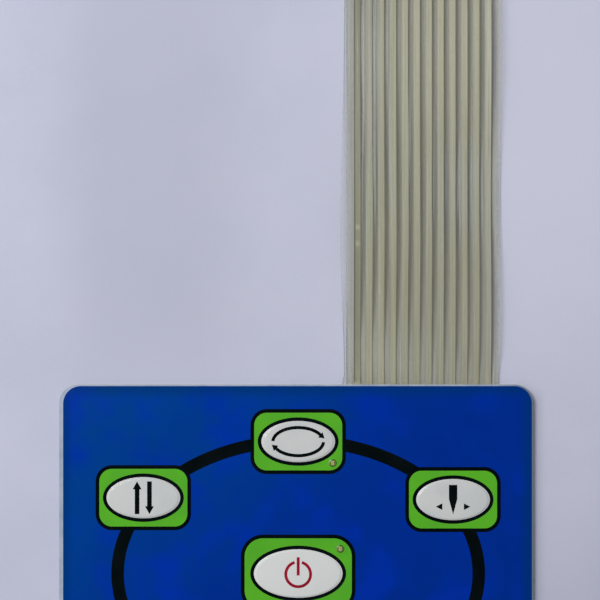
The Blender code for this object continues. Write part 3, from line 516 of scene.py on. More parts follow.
class Finish:
    """A material made node by node from the surface's place on the keypad."""

    def __init__(self, name, target=None):
        self.data = target or bpy.data.materials.new(name)
        self.data.use_nodes = True
        self.tree = self.data.node_tree
        self.tree.nodes.clear()

    def node(self, kind, settings=None, sockets=None, result=0):
        """Add a node, set it up, fill or link its sockets, and give one of its outputs."""
        made = self.tree.nodes.new(kind)
        for name, value in (settings or {}).items():
            setattr(made, name, value)
        for name, value in (sockets or {}).items():
            if isinstance(value, Value):
                self.tree.links.new(value.socket, made.inputs[name])
            else:
                made.inputs[name].default_value = value
        return Value(self, made.outputs[result]) if made.outputs else made

    def calculate(self, operation, first, second=0.0):
        return self.node("ShaderNodeMath", {"operation": operation}, {0: first, 1: second})

    def place(self):
        """The point on the keypad in metres, or in the room the direction."""
        wanted = "Generated" if isinstance(self.data, bpy.types.World) else "Object"
        return self.node("ShaderNodeTexCoord", result=wanted)

    def along(self, axis):
        """One of the point's three coordinates."""
        return self.node("ShaderNodeSeparateXYZ", sockets={0: self.place()}, result=axis)

    def distance(self, x, y):
        """How far the point lies, seen from above, from another."""
        across, up = self.along("X") - x, self.along("Y") - y
        return self.calculate("SQRT", across * across + up * up)

    def off_line(self):
        """How far the point lies from the middle of the nearest silver line of the tail."""
        share = self.calculate("FRACT", (self.along("X") - first_line.x) * (1 / line_pitch) + 0.5)
        return self.calculate("ABSOLUTE", share - 0.5) * line_pitch

    def stretched(self, scale):
        return self.node("ShaderNodeVectorMath", {"operation": "MULTIPLY"}, {0: self.place(), 1: scale})

    def cloud(self, scale, detail=3.0, roughness=0.55, vector=None):
        """Smooth noise from 0 to 1, with a number of patches to the metre."""
        sockets = {
            "Vector": vector or self.place(), "Scale": scale, "Detail": detail, "Roughness": roughness
        }
        return self.node("ShaderNodeTexNoise", {}, sockets)

    def ramp(self, value, low, high, start=0.0, end=1.0):
        """A smooth step of a value between two limits."""
        sockets = {"Value": value, "From Min": low, "From Max": high, "To Min": start, "To Max": end}
        return self.node("ShaderNodeMapRange", {"interpolation_type": "SMOOTHSTEP"}, sockets)

    def mixed(self, first, second, share):
        """A colour between two others."""
        sockets = {0: share, 6: as_colour(first), 7: as_colour(second)}
        return self.node("ShaderNodeMix", {"data_type": "RGBA"}, sockets, result=2)

    def dented(self, height, depth, strength=1.0):
        """A surface direction with small bumps of a depth in metres."""
        sockets = {"Strength": strength, "Distance": depth, "Height": height}
        return self.node("ShaderNodeBump", {}, sockets)

    def surface(self, tint=None, veil=1.0, **sockets):
        """The shader, its sockets named with underscores for spaces, over clear film if a tint is given."""
        named = {name.replace("_", " "): as_colour(value) for name, value in sockets.items()}
        shader = self.node("ShaderNodeBsdfPrincipled", {}, named)
        if tint:
            clear = self.node("ShaderNodeBsdfTransparent", {}, {"Color": as_colour(tint)})
            shader = self.node("ShaderNodeMixShader", {}, {0: veil, 1: clear, 2: shader})
        self.node("ShaderNodeOutputMaterial", {}, {"Surface": shader})
        return self.data


def as_colour(value):
    """A plain colour gets its opaque fourth number, and anything else stays."""
    return (*value, 1.0) if isinstance(value, tuple) and len(value) == 3 else value


def satin_face(finish, colour):
    """The overlay's face: a printed colour below a smooth film with a fine satin grain."""
    grain = finish.cloud(6500.0, 2.0) * 0.7 + finish.cloud(1900.0, 2.0) * 0.3
    return finish.surface(
        Base_Color=colour, Roughness=grain * 0.04 + 0.07, Specular_IOR_Level=0.22,
        Normal=finish.dented(grain, 0.000001, 0.25),
    )


def printed_ink(name, light, dark, patch=160.0):
    """Screen-printed ink, slightly uneven in patches."""
    finish = Finish(name)
    patches = finish.ramp(finish.cloud(patch, 3.0), 0.35, 0.68)
    specks = finish.ramp(finish.cloud(2600.0, 2.0), 0.60, 0.80)
    return satin_face(finish, finish.mixed(finish.mixed(light, dark, patches), dark, specks * 0.25))


def white_ink():
    """White of the ovals, lighter towards the panel's middle row."""
    finish = Finish("overlay_white_ink")
    patches = finish.ramp(finish.cloud(150.0, 3.0), 0.35, 0.68)
    colour = finish.mixed((0.590, 0.605, 0.595), (0.545, 0.570, 0.575), patches)
    off_middle = finish.calculate("ABSOLUTE", finish.along("Y"))
    # the ovals turn lighter towards the panel's middle row
    lighter_mid_row = finish.ramp(off_middle, 0.012, 0.006)
    return satin_face(finish, finish.mixed(colour, (0.690, 0.710, 0.695), lighter_mid_row * 0.75))


def blue_ink():
    """Deep blue with a painted teal sheen towards the upper left, where the light stands, bright clouds, and
    painted shade along the edges.
    """
    finish = Finish("overlay_blue_ink")
    x, y = finish.along("X"), finish.along("Y")
    # painted sheen: the blue turns teal towards the upper left, facing the light
    lean = x * -9.0 + y * 9.0 + finish.cloud(45.0, 2.0) * 0.35
    painted_sheen = finish.ramp(lean, 0.10, 0.85)
    clouds = finish.ramp(finish.cloud(88.0, 2.0), 0.44, 0.70)
    colour = finish.mixed((0.0003, 0.0265, 0.276), (0.0003, 0.0500, 0.270), painted_sheen)
    colour = finish.mixed(colour, (0.0003, 0.0290, 0.400), clouds * 0.8)
    shades = finish.ramp(finish.cloud(30.0, 3.0), 0.35, 0.70)
    colour = finish.mixed(colour, (0.0003, 0.0240, 0.210), shades * 0.25)
    # painted shade: the blue darkens within a few millimetres of the panel's edges
    to_side = finish.calculate("ABSOLUTE", x) - half_width
    to_end = finish.calculate("ABSOLUTE", y) - half_height
    edge = finish.ramp(finish.calculate("MAXIMUM", to_side, to_end), -0.0034, -0.0008)
    return satin_face(finish, finish.mixed(colour, (0.0003, 0.0330, 0.150), edge * 0.65))


def rim_film():
    """Bare strip of film outside the print, over milky adhesive, with painted shade darkening it towards the
    right side.
    """
    finish = Finish("overlay_bare_rim")
    streaks = finish.ramp(finish.cloud(260.0, 2.0), 0.35, 0.70)
    colour = finish.mixed((0.39, 0.44, 0.54), (0.29, 0.36, 0.46), streaks)
    # painted shade: the rim darkens over its last 8 mm towards the right side, away from the light
    painted_shade = finish.ramp(finish.along("X"), half_width - 0.008, half_width)
    return satin_face(finish, finish.mixed(colour, (0.150, 0.180, 0.250), painted_shade))


def window_clear():
    """Clear raised window over a lamp."""
    finish = Finish("lamp_window")
    haze = finish.ramp(finish.cloud(2400.0, 3.0), 0.40, 0.75)
    return finish.surface(
        Base_Color=finish.mixed((0.32, 0.44, 0.08), (0.54, 0.57, 0.24), haze), Roughness=haze * 0.10 + 0.10,
        Alpha=haze * 0.14 + 0.15, Specular_IOR_Level=0.30,
    )


def window_rim():
    """Formed shoulder of the window, painted dark green for the shade in it, with a painted highlight on its
    side towards the light.
    """
    finish = Finish("lamp_window_rim")
    haze = finish.ramp(finish.cloud(3000.0, 3.0), 0.35, 0.72)
    # painted shade: the shoulder is coloured dark green
    colour = finish.mixed((0.020, 0.090, 0.008), (0.080, 0.210, 0.020), haze)
    # painted highlight on each shoulder's side towards the light
    for lamp in LAMPS:
        lit_x, lit_y = lamp.x + WINDOW_LIT_SIDE[0], lamp.y + WINDOW_LIT_SIDE[1]
        painted_highlight = finish.ramp(finish.distance(lit_x, lit_y), 0.0009, 0.0003)
        colour = finish.mixed(colour, (0.170, 0.300, 0.060), painted_highlight * 0.9)
    return finish.surface(Base_Color=colour, Roughness=haze * 0.15 + 0.20, Specular_IOR_Level=0.25)


def adhesive():
    """Milky pressure-sensitive adhesive with fine bubbles."""
    finish = Finish("adhesive_film")
    bubbles = finish.ramp(finish.cloud(3200.0, 2.0), 0.58, 0.74)
    fibres = finish.cloud(1.0, 3.0, vector=finish.stretched((300.0, 2600.0, 300.0)))
    colour = finish.mixed((0.64, 0.61, 0.50), (0.76, 0.74, 0.66), finish.ramp(fibres, 0.35, 0.65))
    return finish.surface(
        Base_Color=finish.mixed(colour, (0.50, 0.47, 0.38), bubbles * 0.5), Roughness=bubbles * 0.2 + 0.35,
        Normal=finish.dented(bubbles + fibres, 0.000010, 0.5),
    )


def spacer_film():
    """Milky white spacer film."""
    finish = Finish("spacer_film")
    cloud = finish.ramp(finish.cloud(700.0, 4.0), 0.35, 0.70)
    scratches = finish.ramp(finish.cloud(1.0, 2.0, vector=finish.stretched((90.0, 5200.0, 90.0))), 0.62, 0.74)
    return finish.surface(
        Base_Color=finish.mixed((0.70, 0.73, 0.73), (0.62, 0.66, 0.68), cloud), Roughness=cloud * 0.12 + 0.26,
        Normal=finish.dented(scratches, 0.000004, 0.5),
    )


def liner_paper():
    """Waxed liner paper, pale yellow, with its fibres just visible."""
    finish = Finish("liner_paper")
    fibres = finish.cloud(1.0, 4.0, 0.6, finish.stretched((700.0, 2900.0, 700.0)))
    blotch = finish.ramp(finish.cloud(190.0, 4.0), 0.35, 0.70)
    colour = finish.mixed((0.74, 0.68, 0.52), (0.66, 0.59, 0.42), blotch)
    colour = finish.mixed(colour, (0.82, 0.78, 0.66), finish.ramp(fibres, 0.50, 0.72) * 0.6)
    return finish.surface(
        Base_Color=colour, Roughness=finish.ramp(fibres, 0.3, 0.7) * 0.15 + 0.42,
        Normal=finish.dented(fibres, 0.000012, 0.6),
    )


def clear_film(name, light, dark, tint, veil, glue=0.0):
    """Clear film with a faint veil, long drawing streaks and small scratches, painted glints, and glue
    between the lines whose warm veil also paints warm light into the lines' shadows.
    """
    finish = Finish(name)
    x, y = finish.along("X"), finish.along("Y")
    streaks = finish.ramp(finish.cloud(1.0, 3.0, vector=finish.stretched((1900.0, 24.0, 60.0))), 0.35, 0.66)
    scuffs = finish.ramp(finish.cloud(420.0, 4.0), 0.56, 0.74)
    gaps = finish.cloud(1.0, 2.0, vector=finish.stretched((2700.0, 17.0, 60.0)))
    inside = finish.ramp(x, first_line.x, first_line.x + line_pitch / 2)
    inside = inside * finish.ramp(x, last_line.x, last_line.x - line_pitch / 2)
    # painted brighter gaps: more glints and less glue towards the tail's upper left and in one patch
    painted_bright_gaps = finish.ramp(x, first_line.x + 3.2 * line_pitch, first_line.x + line_pitch)
    painted_bright_gaps = painted_bright_gaps * finish.ramp(y, 0.074, 0.100)
    to_patch = finish.distance(*BRIGHT_GAP_PATCH)
    painted_bright_gaps = painted_bright_gaps + finish.ramp(to_patch, BRIGHT_GAP_PATCH_RADIUS, BRIGHT_GAP_PATCH_RADIUS / 4) * 0.8
    in_gap = finish.ramp(finish.off_line(), LINE_HALF_WIDTH, LINE_HALF_WIDTH + 0.0003) * inside
    # painted glints: thin pale lengthwise lines, denser in the gaps painted brighter
    glint_lines = finish.ramp(gaps + painted_bright_gaps * in_gap * 0.15, 0.60, 0.69)
    # glue between the lines, whose warm veil also paints warm light into the lines' shadows
    glue_and_warm_light = inside * (1.0 - painted_bright_gaps * 0.8) * glue
    colour = finish.mixed(light, dark, streaks)
    colour = finish.mixed(colour, (0.47, 0.46, 0.30), glue_and_warm_light * (0.8 / max(glue, veil)))
    return finish.surface(
        tint, streaks * (veil * 0.9) + scuffs * (veil * 0.4) + glint_lines * (veil * 3.0) + glue_and_warm_light + veil * 0.5,
        Base_Color=finish.mixed(colour, (0.66, 0.69, 0.69), glint_lines), Roughness=scuffs * 0.22 + 0.12,
        Specular_IOR_Level=0.6, Normal=finish.dented(streaks, 0.000003, 0.4),
    )


def film_cut_edge():
    """Cut edge of the clear films, which gathers light and looks darker and greener."""
    finish = Finish("film_cut_edge")
    nicks = finish.ramp(finish.cloud(1.0, 3.0, vector=finish.stretched((400.0, 2200.0, 400.0))), 0.35, 0.70)
    return finish.surface(
        Base_Color=finish.mixed((0.30, 0.34, 0.31), (0.52, 0.57, 0.56), nicks), Roughness=nicks * 0.2 + 0.2,
        Alpha=nicks * 0.30 + 0.35,
    )


def silver_ink():
    """Printed silver paste: pale greenish beige, streaked along the squeegee's way, with painted light and
    shade across the tail and painted shade along its edges.
    """
    finish = Finish("silver_ink")
    x, y = finish.along("X"), finish.along("Y")
    streaks = finish.cloud(1.0, 4.0, 0.6, finish.stretched((3300.0, 40.0, 60.0)))
    drift = finish.ramp(finish.cloud(1.0, 2.0, vector=finish.stretched((420.0, 36.0, 60.0))), 0.36, 0.64)
    bands = finish.ramp(finish.cloud(1.0, 2.0, vector=finish.stretched((1100.0, 22.0, 60.0))), 0.40, 0.62)
    grain = finish.ramp(finish.cloud(5200.0, 2.0), 0.40, 0.72)
    colour = finish.mixed((0.545, 0.508, 0.480), (0.472, 0.508, 0.442), drift)
    colour = finish.mixed(colour, (0.465, 0.475, 0.470), bands * 0.7)
    # painted light: the lines turn lighter and greyer towards the right and the far end
    painted_lighter_side = finish.ramp(x, first_line.x, tail_x) * finish.ramp(y, 0.040, 0.105, 0.45, 1.0)
    colour = finish.mixed(colour, (0.605, 0.605, 0.610), painted_lighter_side * 0.72)
    # painted shade: darker at the upper left and, less, at the lower right
    to_left = finish.ramp(x, tail_x, first_line.x)
    painted_shade = to_left * finish.ramp(y, 0.060, 0.106) + (1.0 - to_left) * finish.ramp(y, 0.088, 0.050) * 0.7
    colour = finish.mixed(colour, (0.22, 0.22, 0.27), painted_shade * 0.36)
    colour = finish.mixed(colour, (0.620, 0.620, 0.585), finish.ramp(streaks, 0.50, 0.70) * 0.5)
    colour = finish.mixed(colour, (0.300, 0.300, 0.245), finish.ramp(streaks, 0.50, 0.32) * 0.4)
    colour = finish.mixed(colour, (0.34, 0.34, 0.28), grain * 0.15)

    in_tail = finish.ramp(y, half_height, half_height + 0.001)
    # painted shade along both edges of every line, where they meet their shadows
    thin = finish.ramp(finish.off_line(), LINE_HALF_WIDTH - 0.00016, LINE_HALF_WIDTH) * in_tail
    colour = finish.mixed(colour, (0.13, 0.13, 0.10), thin * 0.35)
    # the first line is darker over its outer half
    first_line_edge = first_line.x + LINE_HALF_WIDTH
    first_line_darker = finish.ramp(x, first_line_edge, first_line_edge + LINE_HALF_WIDTH, 1.0, 0.0) * in_tail
    colour = finish.mixed(colour, (0.20, 0.195, 0.155), first_line_darker * 0.55)
    for spot_y in PALE_SPOTS:
        spot = finish.ramp(finish.distance(first_line.x, spot_y), 0.0009, 0.0002)
        colour = finish.mixed(colour, (0.56, 0.56, 0.47), spot * 0.55)
    # painted shade on the first line's outer edge
    outer_edge_shade = finish.ramp(x, first_line.x - LINE_HALF_WIDTH + 0.0002, first_line.x - 0.00035, 1.0, 0.0)
    colour = finish.mixed(colour, (0.09, 0.09, 0.075), outer_edge_shade * in_tail * 0.8)
    return finish.surface(
        Base_Color=colour, Roughness=grain * 0.15 + 0.45, Metallic=grain * 0.10 + 0.10,
        Normal=finish.dented(streaks + grain * 0.3, 0.000006, 0.6),
    )


def dome_steel(target, x, y):
    """Sprung stainless steel, turned bright in rings about the dome's middle."""
    finish = Finish("", target)
    rings = finish.calculate("SINE", finish.distance(x, y) * 42000.0)
    stains = finish.ramp(finish.cloud(900.0, 4.0), 0.42, 0.72)
    return finish.surface(
        Base_Color=finish.mixed((0.66, 0.65, 0.62), (0.52, 0.50, 0.46), stains), Metallic=1.0,
        Roughness=stains * 0.15 + rings * 0.03 + 0.20, Normal=finish.dented(rings, 0.000001, 0.4),
    )


def tin_plate():
    """Matt tin over pressed bronze, with drawing marks."""
    finish = Finish("tin_plate")
    marks = finish.cloud(1.0, 3.0, vector=finish.stretched((5200.0, 260.0, 5200.0)))
    stains = finish.ramp(finish.cloud(1100.0, 4.0), 0.45, 0.72)
    return finish.surface(
        Base_Color=finish.mixed((0.64, 0.63, 0.60), (0.50, 0.46, 0.38), stains), Metallic=1.0,
        Roughness=finish.ramp(marks, 0.3, 0.7) * 0.16 + 0.24, Normal=finish.dented(marks, 0.000004, 0.5),
    )


def housing_plastic():
    """Black moulded nylon with a fine spark-eroded grain and a few scuffs."""
    finish = Finish("housing_plastic")
    grain = finish.cloud(7800.0, 2.0)
    scuffs = finish.ramp(finish.cloud(1.0, 3.0, vector=finish.stretched((260.0, 2400.0, 900.0))), 0.62, 0.76)
    colour = finish.mixed((0.014, 0.014, 0.015), (0.045, 0.045, 0.047), scuffs * 0.6)
    return finish.surface(
        Base_Color=colour, Roughness=grain * 0.18 + scuffs * 0.1 + 0.36,
        Normal=finish.dented(grain, 0.000010, 0.6),
    )


def lamp_resin(lamp):
    """Yellow resin lens, with the chip's small dark die in its middle."""
    finish = Finish("lamp_resin")
    mottle = finish.ramp(finish.cloud(4200.0, 3.0), 0.35, 0.70)
    die = finish.ramp(finish.distance(lamp.x, lamp.y), DIE_RADIUS, DIE_RADIUS / 2)
    colour = finish.mixed((0.92, 0.88, 0.44), (0.78, 0.71, 0.30), mottle)
    colour = finish.mixed(colour, (0.11, 0.09, 0.03), die)
    return finish.surface(
        Base_Color=colour, Roughness=mottle * 0.12 + 0.22, Normal=finish.dented(mottle, 0.000006, 0.5),
    )


def lamp_base():
    """Pale glass-filled board below the lamp's lens."""
    finish = Finish("lamp_base")
    weave = finish.ramp(finish.cloud(1.0, 3.0, vector=finish.stretched((9000.0, 4200.0, 9000.0))), 0.35, 0.65)
    return finish.surface(
        Base_Color=finish.mixed((0.66, 0.62, 0.46), (0.50, 0.46, 0.30), weave), Roughness=weave * 0.15 + 0.35,
        Normal=finish.dented(weave, 0.000004, 0.5),
    )


def table_paper():
    """Pale lavender paper with faint blotches and fibres, and painted light and shade: lighter towards the
    upper right, darker to the left above the panel and towards the lower right, with a painted shadow beside
    the panel's right side.
    """
    finish = Finish("table_paper")
    blotch = finish.ramp(finish.cloud(38.0, 4.0), 0.30, 0.72)
    fibres = finish.ramp(finish.cloud(1300.0, 3.0), 0.40, 0.66)
    x, y = finish.along("X"), finish.along("Y")
    colour = finish.mixed((0.530, 0.545, 0.665), (0.495, 0.510, 0.633), blotch)
    colour = finish.mixed(colour, (0.60, 0.61, 0.72), fibres * 0.10)
    # painted light: the paper lightens towards the upper right
    bright = finish.ramp(x, -0.016, 0.046) * finish.ramp(y, -0.012, 0.090)
    colour = finish.mixed(colour, (0.660, 0.675, 0.805), bright * 0.56)
    # painted shade: a darker stretch to the left above the panel
    dip = finish.ramp(x, -0.058, -0.040) * finish.ramp(x, -0.002, -0.026) * finish.ramp(y, 0.020, 0.060)
    colour = finish.mixed(colour, (0.400, 0.412, 0.512), dip * 0.40)
    # painted shade: the paper darkens towards the lower right
    far = finish.ramp(x - y, 0.036, 0.092)
    # painted shadow along the panel's right side
    from_side = finish.calculate("ABSOLUTE", x - (half_width + 0.0008))
    painted_shadow_beside = finish.ramp(from_side, 0.0022, 0.0002)
    painted_shadow_beside = painted_shadow_beside * finish.ramp(finish.calculate("ABSOLUTE", y), half_height, half_height - 0.004)
    colour = finish.mixed(colour, (0.400, 0.412, 0.512), far * 0.62 + painted_shadow_beside * 0.40)
    return finish.surface(
        Base_Color=colour, Roughness=0.75, Specular_IOR_Level=0.15,
        Normal=finish.dented(fibres, 0.00003, 0.25),
    )


# Building the pieces


def triangulate(outlines, folds=()):
    """Points, triangles and, for each triangle, the numbers of the outlines that hold it."""
    points, edges, loops = [], [], []
    for outline in outlines:
        loops.append([len(points) + i for i in range(len(outline))])
        points += [Vector(p) for p in outline]
    for fold in folds:
        edges.append((len(points), len(points) + 1))
        points += [Vector(p) for p in fold]
    verts, _, triangles, _, _, holders = delaunay_2d_cdt(points, edges, loops, 1, 1e-9, True)
    return verts, triangles, holders


def add_piece(name, mesh, materials, replaced, smooth_angle=30):
    """Make an object of the finished mesh, attach it to the root body and hide the parts it replaces."""
    bmesh.ops.recalc_face_normals(mesh, faces=mesh.faces)
    data = bpy.data.meshes.new(name)
    mesh.to_mesh(data)
    mesh.free()
    for material in materials:
        data.materials.append(material)
    data.shade_smooth()
    data.set_sharp_from_angle(angle=math.radians(smooth_angle))
    piece = bpy.data.objects.new(name, data)
    bpy.context.scene.collection.objects.link(piece)
    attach(piece, "root")
    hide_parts(*replaced)


def thicken(mesh, thickness):
    """Turn a sheet of faces into a closed solid by lifting a copy of it straight up."""
    lower = list(mesh.faces)
    lifted = bmesh.ops.extrude_face_region(mesh, geom=lower, use_keep_orig=True)
    corners = [item for item in lifted["geom"] if isinstance(item, bmesh.types.BMVert)]
    bmesh.ops.translate(mesh, vec=(0, 0, thickness), verts=corners)


def film(name, materials, replaced, solids, cuts, layer, inner=(), rise=level, folds=()):
    """A flat film: solid outlines less the cut ones. Outside the inner ones it has the edge's material."""
    outlines = list(solids) + list(cuts) + list(inner)
    points, triangles, holders = triangulate(outlines, folds)
    cut_from, inner_from = len(solids), len(solids) + len(cuts)
    mesh = bmesh.new()
    corners = {}
    for triangle, held_by in zip(triangles, holders):
        in_solid = any(number < cut_from for number in held_by)
        in_cut = any(cut_from <= number < inner_from for number in held_by)
        if not in_solid or in_cut:
            continue
        for index in triangle:
            if index not in corners:
                x, y = points[index]
                corners[index] = mesh.verts.new((x, y, layer.bottom + rise(x, y)))
        face = mesh.faces.new([corners[index] for index in triangle])
        at_edge = bool(inner) and not any(number >= inner_from for number in held_by)
        face.material_index = 1 if at_edge else 0
    thicken(mesh, layer.thickness)
    add_piece(name, mesh, materials, replaced)


def make_overlay():
    """Printed face film, whose faces take the ink that lies uppermost over them."""
    inks = {
        "rim": rim_film(),
        "blue": blue_ink(),
        "black": printed_ink("overlay_black_ink", (0.0014, 0.0036, 0.0042), (0.0030, 0.0054, 0.0060)),
        "green": printed_ink("overlay_green_ink", (0.100, 0.435, 0.023), (0.086, 0.390, 0.026), 110.0),
        "white": white_ink(),
        "red": printed_ink("overlay_red_ink", (0.330, 0.008, 0.026), (0.270, 0.007, 0.022)),
        "window_rim": window_rim(),
        "window": window_clear(),
    }
    fields = overlay_artwork()
    points, triangles, holders = triangulate([outline for _, outline in fields] + emboss_steps())
    names = list(inks)
    mesh = bmesh.new()
    corners = [mesh.verts.new((p.x, p.y, overlay_z + emboss(p.x, p.y))) for p in points]
    for triangle, held_by in zip(triangles, holders):
        face = mesh.faces.new([corners[index] for index in triangle])
        uppermost = max(number for number in held_by if number < len(fields))
        face.material_index = names.index(fields[uppermost][0])
    thicken(mesh, OVERLAY_THICKNESS)
    add_piece("printed_overlay", mesh, inks.values(), ["graphic_overlay"])


def lamp_holes():
    return [circle(lamp.x, lamp.y, LAMP_HOLE_RADIUS) for lamp in LAMPS]


def make_panel_films():
    """Adhesives, spacer and liner, each cut very slightly inside the one above."""
    glue = adhesive()
    ovals = [ellipse(k.x, k.y, k.oval_width / 2, k.oval_height / 2, OVAL_FACETS) for k in KEYS]
    film("overlay_bond", [glue], ["overlay_adhesive"], [panel_outline(LAYER_INSET)],
         ovals + lamp_holes(), flat_layer("overlay_adhesive"))

    half_vent = VENT_WIDTH / 2
    notch_lower = half_height - COVER_TONGUE - NOTCH_CLEARANCE
    notch = rectangle(film_tail_left - NOTCH_CLEARANCE, notch_lower,
                      film_tail_right + NOTCH_CLEARANCE, half_height + NOTCH_CLEARANCE)
    cuts = [circle(dome.x, dome.y, DOME_HOLE_RADIUS) for dome in DOMES]
    cuts += [
        rectangle(TOP.x - half_vent, BOTTOM.y, TOP.x + half_vent, TOP.y),
        rectangle(LOWER_LEFT.x - half_vent, LOWER_LEFT.y, LOWER_LEFT.x + half_vent, UPPER_LEFT.y),
        rectangle(LOWER_RIGHT.x - half_vent, LOWER_RIGHT.y,
                  LOWER_RIGHT.x + half_vent, notch_lower + half_vent),
        rectangle(UPPER_LEFT.x, -half_vent, UPPER_RIGHT.x, half_vent),
        notch,
    ]
    film("spacer_sheet", [spacer_film()], ["spacer"], [panel_outline()],
         cuts + lamp_holes(), flat_layer("spacer"))
    film("rear_bond", [glue], ["rear_adhesive"], [panel_outline(LAYER_INSET)], [],
         flat_layer("rear_adhesive"))
    film("liner_sheet", [liner_paper()], ["release_liner"], [panel_outline()], [],
         flat_layer("release_liner"))


def tail_folds(left, right):
    """Lines along and across the tail, so that it bends smoothly."""
    count = round((right - left) / COLUMN_SPACING)
    columns = [left + (right - left) * i / count for i in range(1, count)]
    folds = [((left, y), (right, y)) for y in tail_stations()]
    return folds + [((x, half_height), (x, tip_start)) for x in columns]


def make_clear_films():
    """Circuit film of panel and tail in one, and the cover over the tail's lines."""
    edge = film_cut_edge()
    ys = [half_height - COVER_TONGUE] + tail_stations()
    left, right = film_tail_left, film_tail_right
    tip_left, tip_right = first_line.x - TAIL_TIP_MARGIN, last_line.x + TAIL_TIP_MARGIN
    outline = [(right + slant(y), y) for y in ys] + [(tip_right, tip_start), (tip_right, tail_end)]
    outline += [(tip_left, tail_end), (tip_left, tip_start)] + [(left + bulge(y), y) for y in reversed(ys)]
    inner = [(right + slant(y) - CUT_EDGE, y) for y in ys[:-1]]
    inner += [(right + slant(tip_start) - CUT_EDGE, tip_start - CUT_EDGE)]
    inner += [(left + CUT_EDGE, tip_start - CUT_EDGE)]
    inner += [(left + bulge(y) + CUT_EDGE, y) for y in reversed(ys[:-1])]
    inner_tip = rectangle(tip_left + CUT_EDGE, tip_start - 2 * CUT_EDGE,
                          tip_right - CUT_EDGE, tail_end - CUT_EDGE)
    base = clear_film("circuit_film", (0.50, 0.51, 0.50), (0.24, 0.25, 0.22), (0.986, 0.986, 0.974), 0.03)
    film("circuit_sheet", [base, edge], ["circuit_film"], [panel_outline(), outline], [],
         Layer(circuit_film_z, CIRCUIT_FILM_THICKNESS), [panel_outline(CUT_EDGE), inner, inner_tip],
         twisted_rise, tail_folds(left, right))

    left, right, upper = cover_low.x, cover_high.x, cover_high.y
    ys[-1] = upper
    outline = [(right, y) for y in ys] + [(left, y) for y in reversed(ys)]
    inner = rectangle(left + CUT_EDGE, ys[0] + CUT_EDGE, right - CUT_EDGE, upper - CUT_EDGE)
    # the cover's glue share also paints warm light into the shaded gaps
    cover = clear_film("tail_cover", (0.48, 0.49, 0.45), (0.20, 0.20, 0.16), (0.964, 0.962, 0.914),
                       0.04, 0.08)
    film("tail_cover_sheet", [cover, edge], ["tail_cover"], [outline], [],
         Layer(cover_bottom, COVER_THICKNESS), [inner], twisted_rise, tail_folds(left, right))


def make_silver_line(node, material):
    """A printed line: the solid's own route, cut finely along the tail so that it bends with the film."""
    mesh = bmesh.new()
    mesh.from_mesh(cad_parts[node].data)
    bmesh.ops.remove_doubles(mesh, verts=mesh.verts, dist=1e-7)
    for corner in mesh.verts:
        corner.co.z -= tail_rise(corner.co.y)
    for y in tail_stations():
        geometry = mesh.verts[:] + mesh.edges[:] + mesh.faces[:]
        bmesh.ops.bisect_plane(mesh, geom=geometry, dist=1e-7, plane_co=(0, y, 0), plane_no=(0, 1, 0))
    for corner in mesh.verts:
        corner.co.z += twisted_rise(corner.co.x, corner.co.y)
    add_piece(node + "_print", mesh, [material], [node])


def add_block(mesh, low, high, flare=0.0):
    """Add a closed block between two corners, widened at its front end by the flare."""
    made = bmesh.ops.create_cube(mesh, size=1.0)["verts"]
    middle, size = (Vector(low) + Vector(high)) / 2, Vector(high) - Vector(low)
    for corner in made:
        wide = flare if corner.co.y > 0 else 0.0
        scale = Vector((size.x + 2 * wide, size.y, size.z + 2 * wide))
        corner.co = middle + Vector(a * b for a, b in zip(corner.co, scale))
    return made


def block_faces(corners):
    return {face for corner in corners for face in corner.link_faces}


def make_lamp(node, lamp, materials):
    """Chip lamp: a board with a plated cap on each end and a rounded lens between them."""
    low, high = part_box(node)
    board_top = low.z + LAMP_BASE_HEIGHT
    mesh = bmesh.new()
    add_block(mesh, (low.x, low.y + LAMP_CAP_LENGTH, low.z), (high.x, high.y - LAMP_CAP_LENGTH, board_top))
    for face in mesh.faces:
        face.material_index = 1
    for start, end in ((low.y, low.y + LAMP_CAP_LENGTH), (high.y - LAMP_CAP_LENGTH, high.y)):
        cap = add_block(mesh, (low.x, start, low.z), (high.x, end, board_top + LAMP_PLATING))
        for face in block_faces(cap):
            face.material_index = 2
    side, end = LAMP_LENS_INSET, LAMP_CAP_LENGTH + LAMP_PLATING
    lens = add_block(mesh, (low.x + side, low.y + end, board_top), (high.x - side, high.y - end, high.z))
    edges = {edge for corner in lens for edge in corner.link_edges if corner.co.z > board_top + LAMP_PLATING}
    bmesh.ops.bevel(mesh, geom=list(edges), offset=LAMP_LENS_ROUND, segments=4, affect="EDGES", profile=0.5)
    add_piece(node + "_chip", mesh, materials, [node])


def working_object(name, mesh):
    data = bpy.data.meshes.new(name)
    mesh.to_mesh(data)
    mesh.free()
    made = bpy.data.objects.new(name, data)
    bpy.context.scene.collection.objects.link(made)
    return made


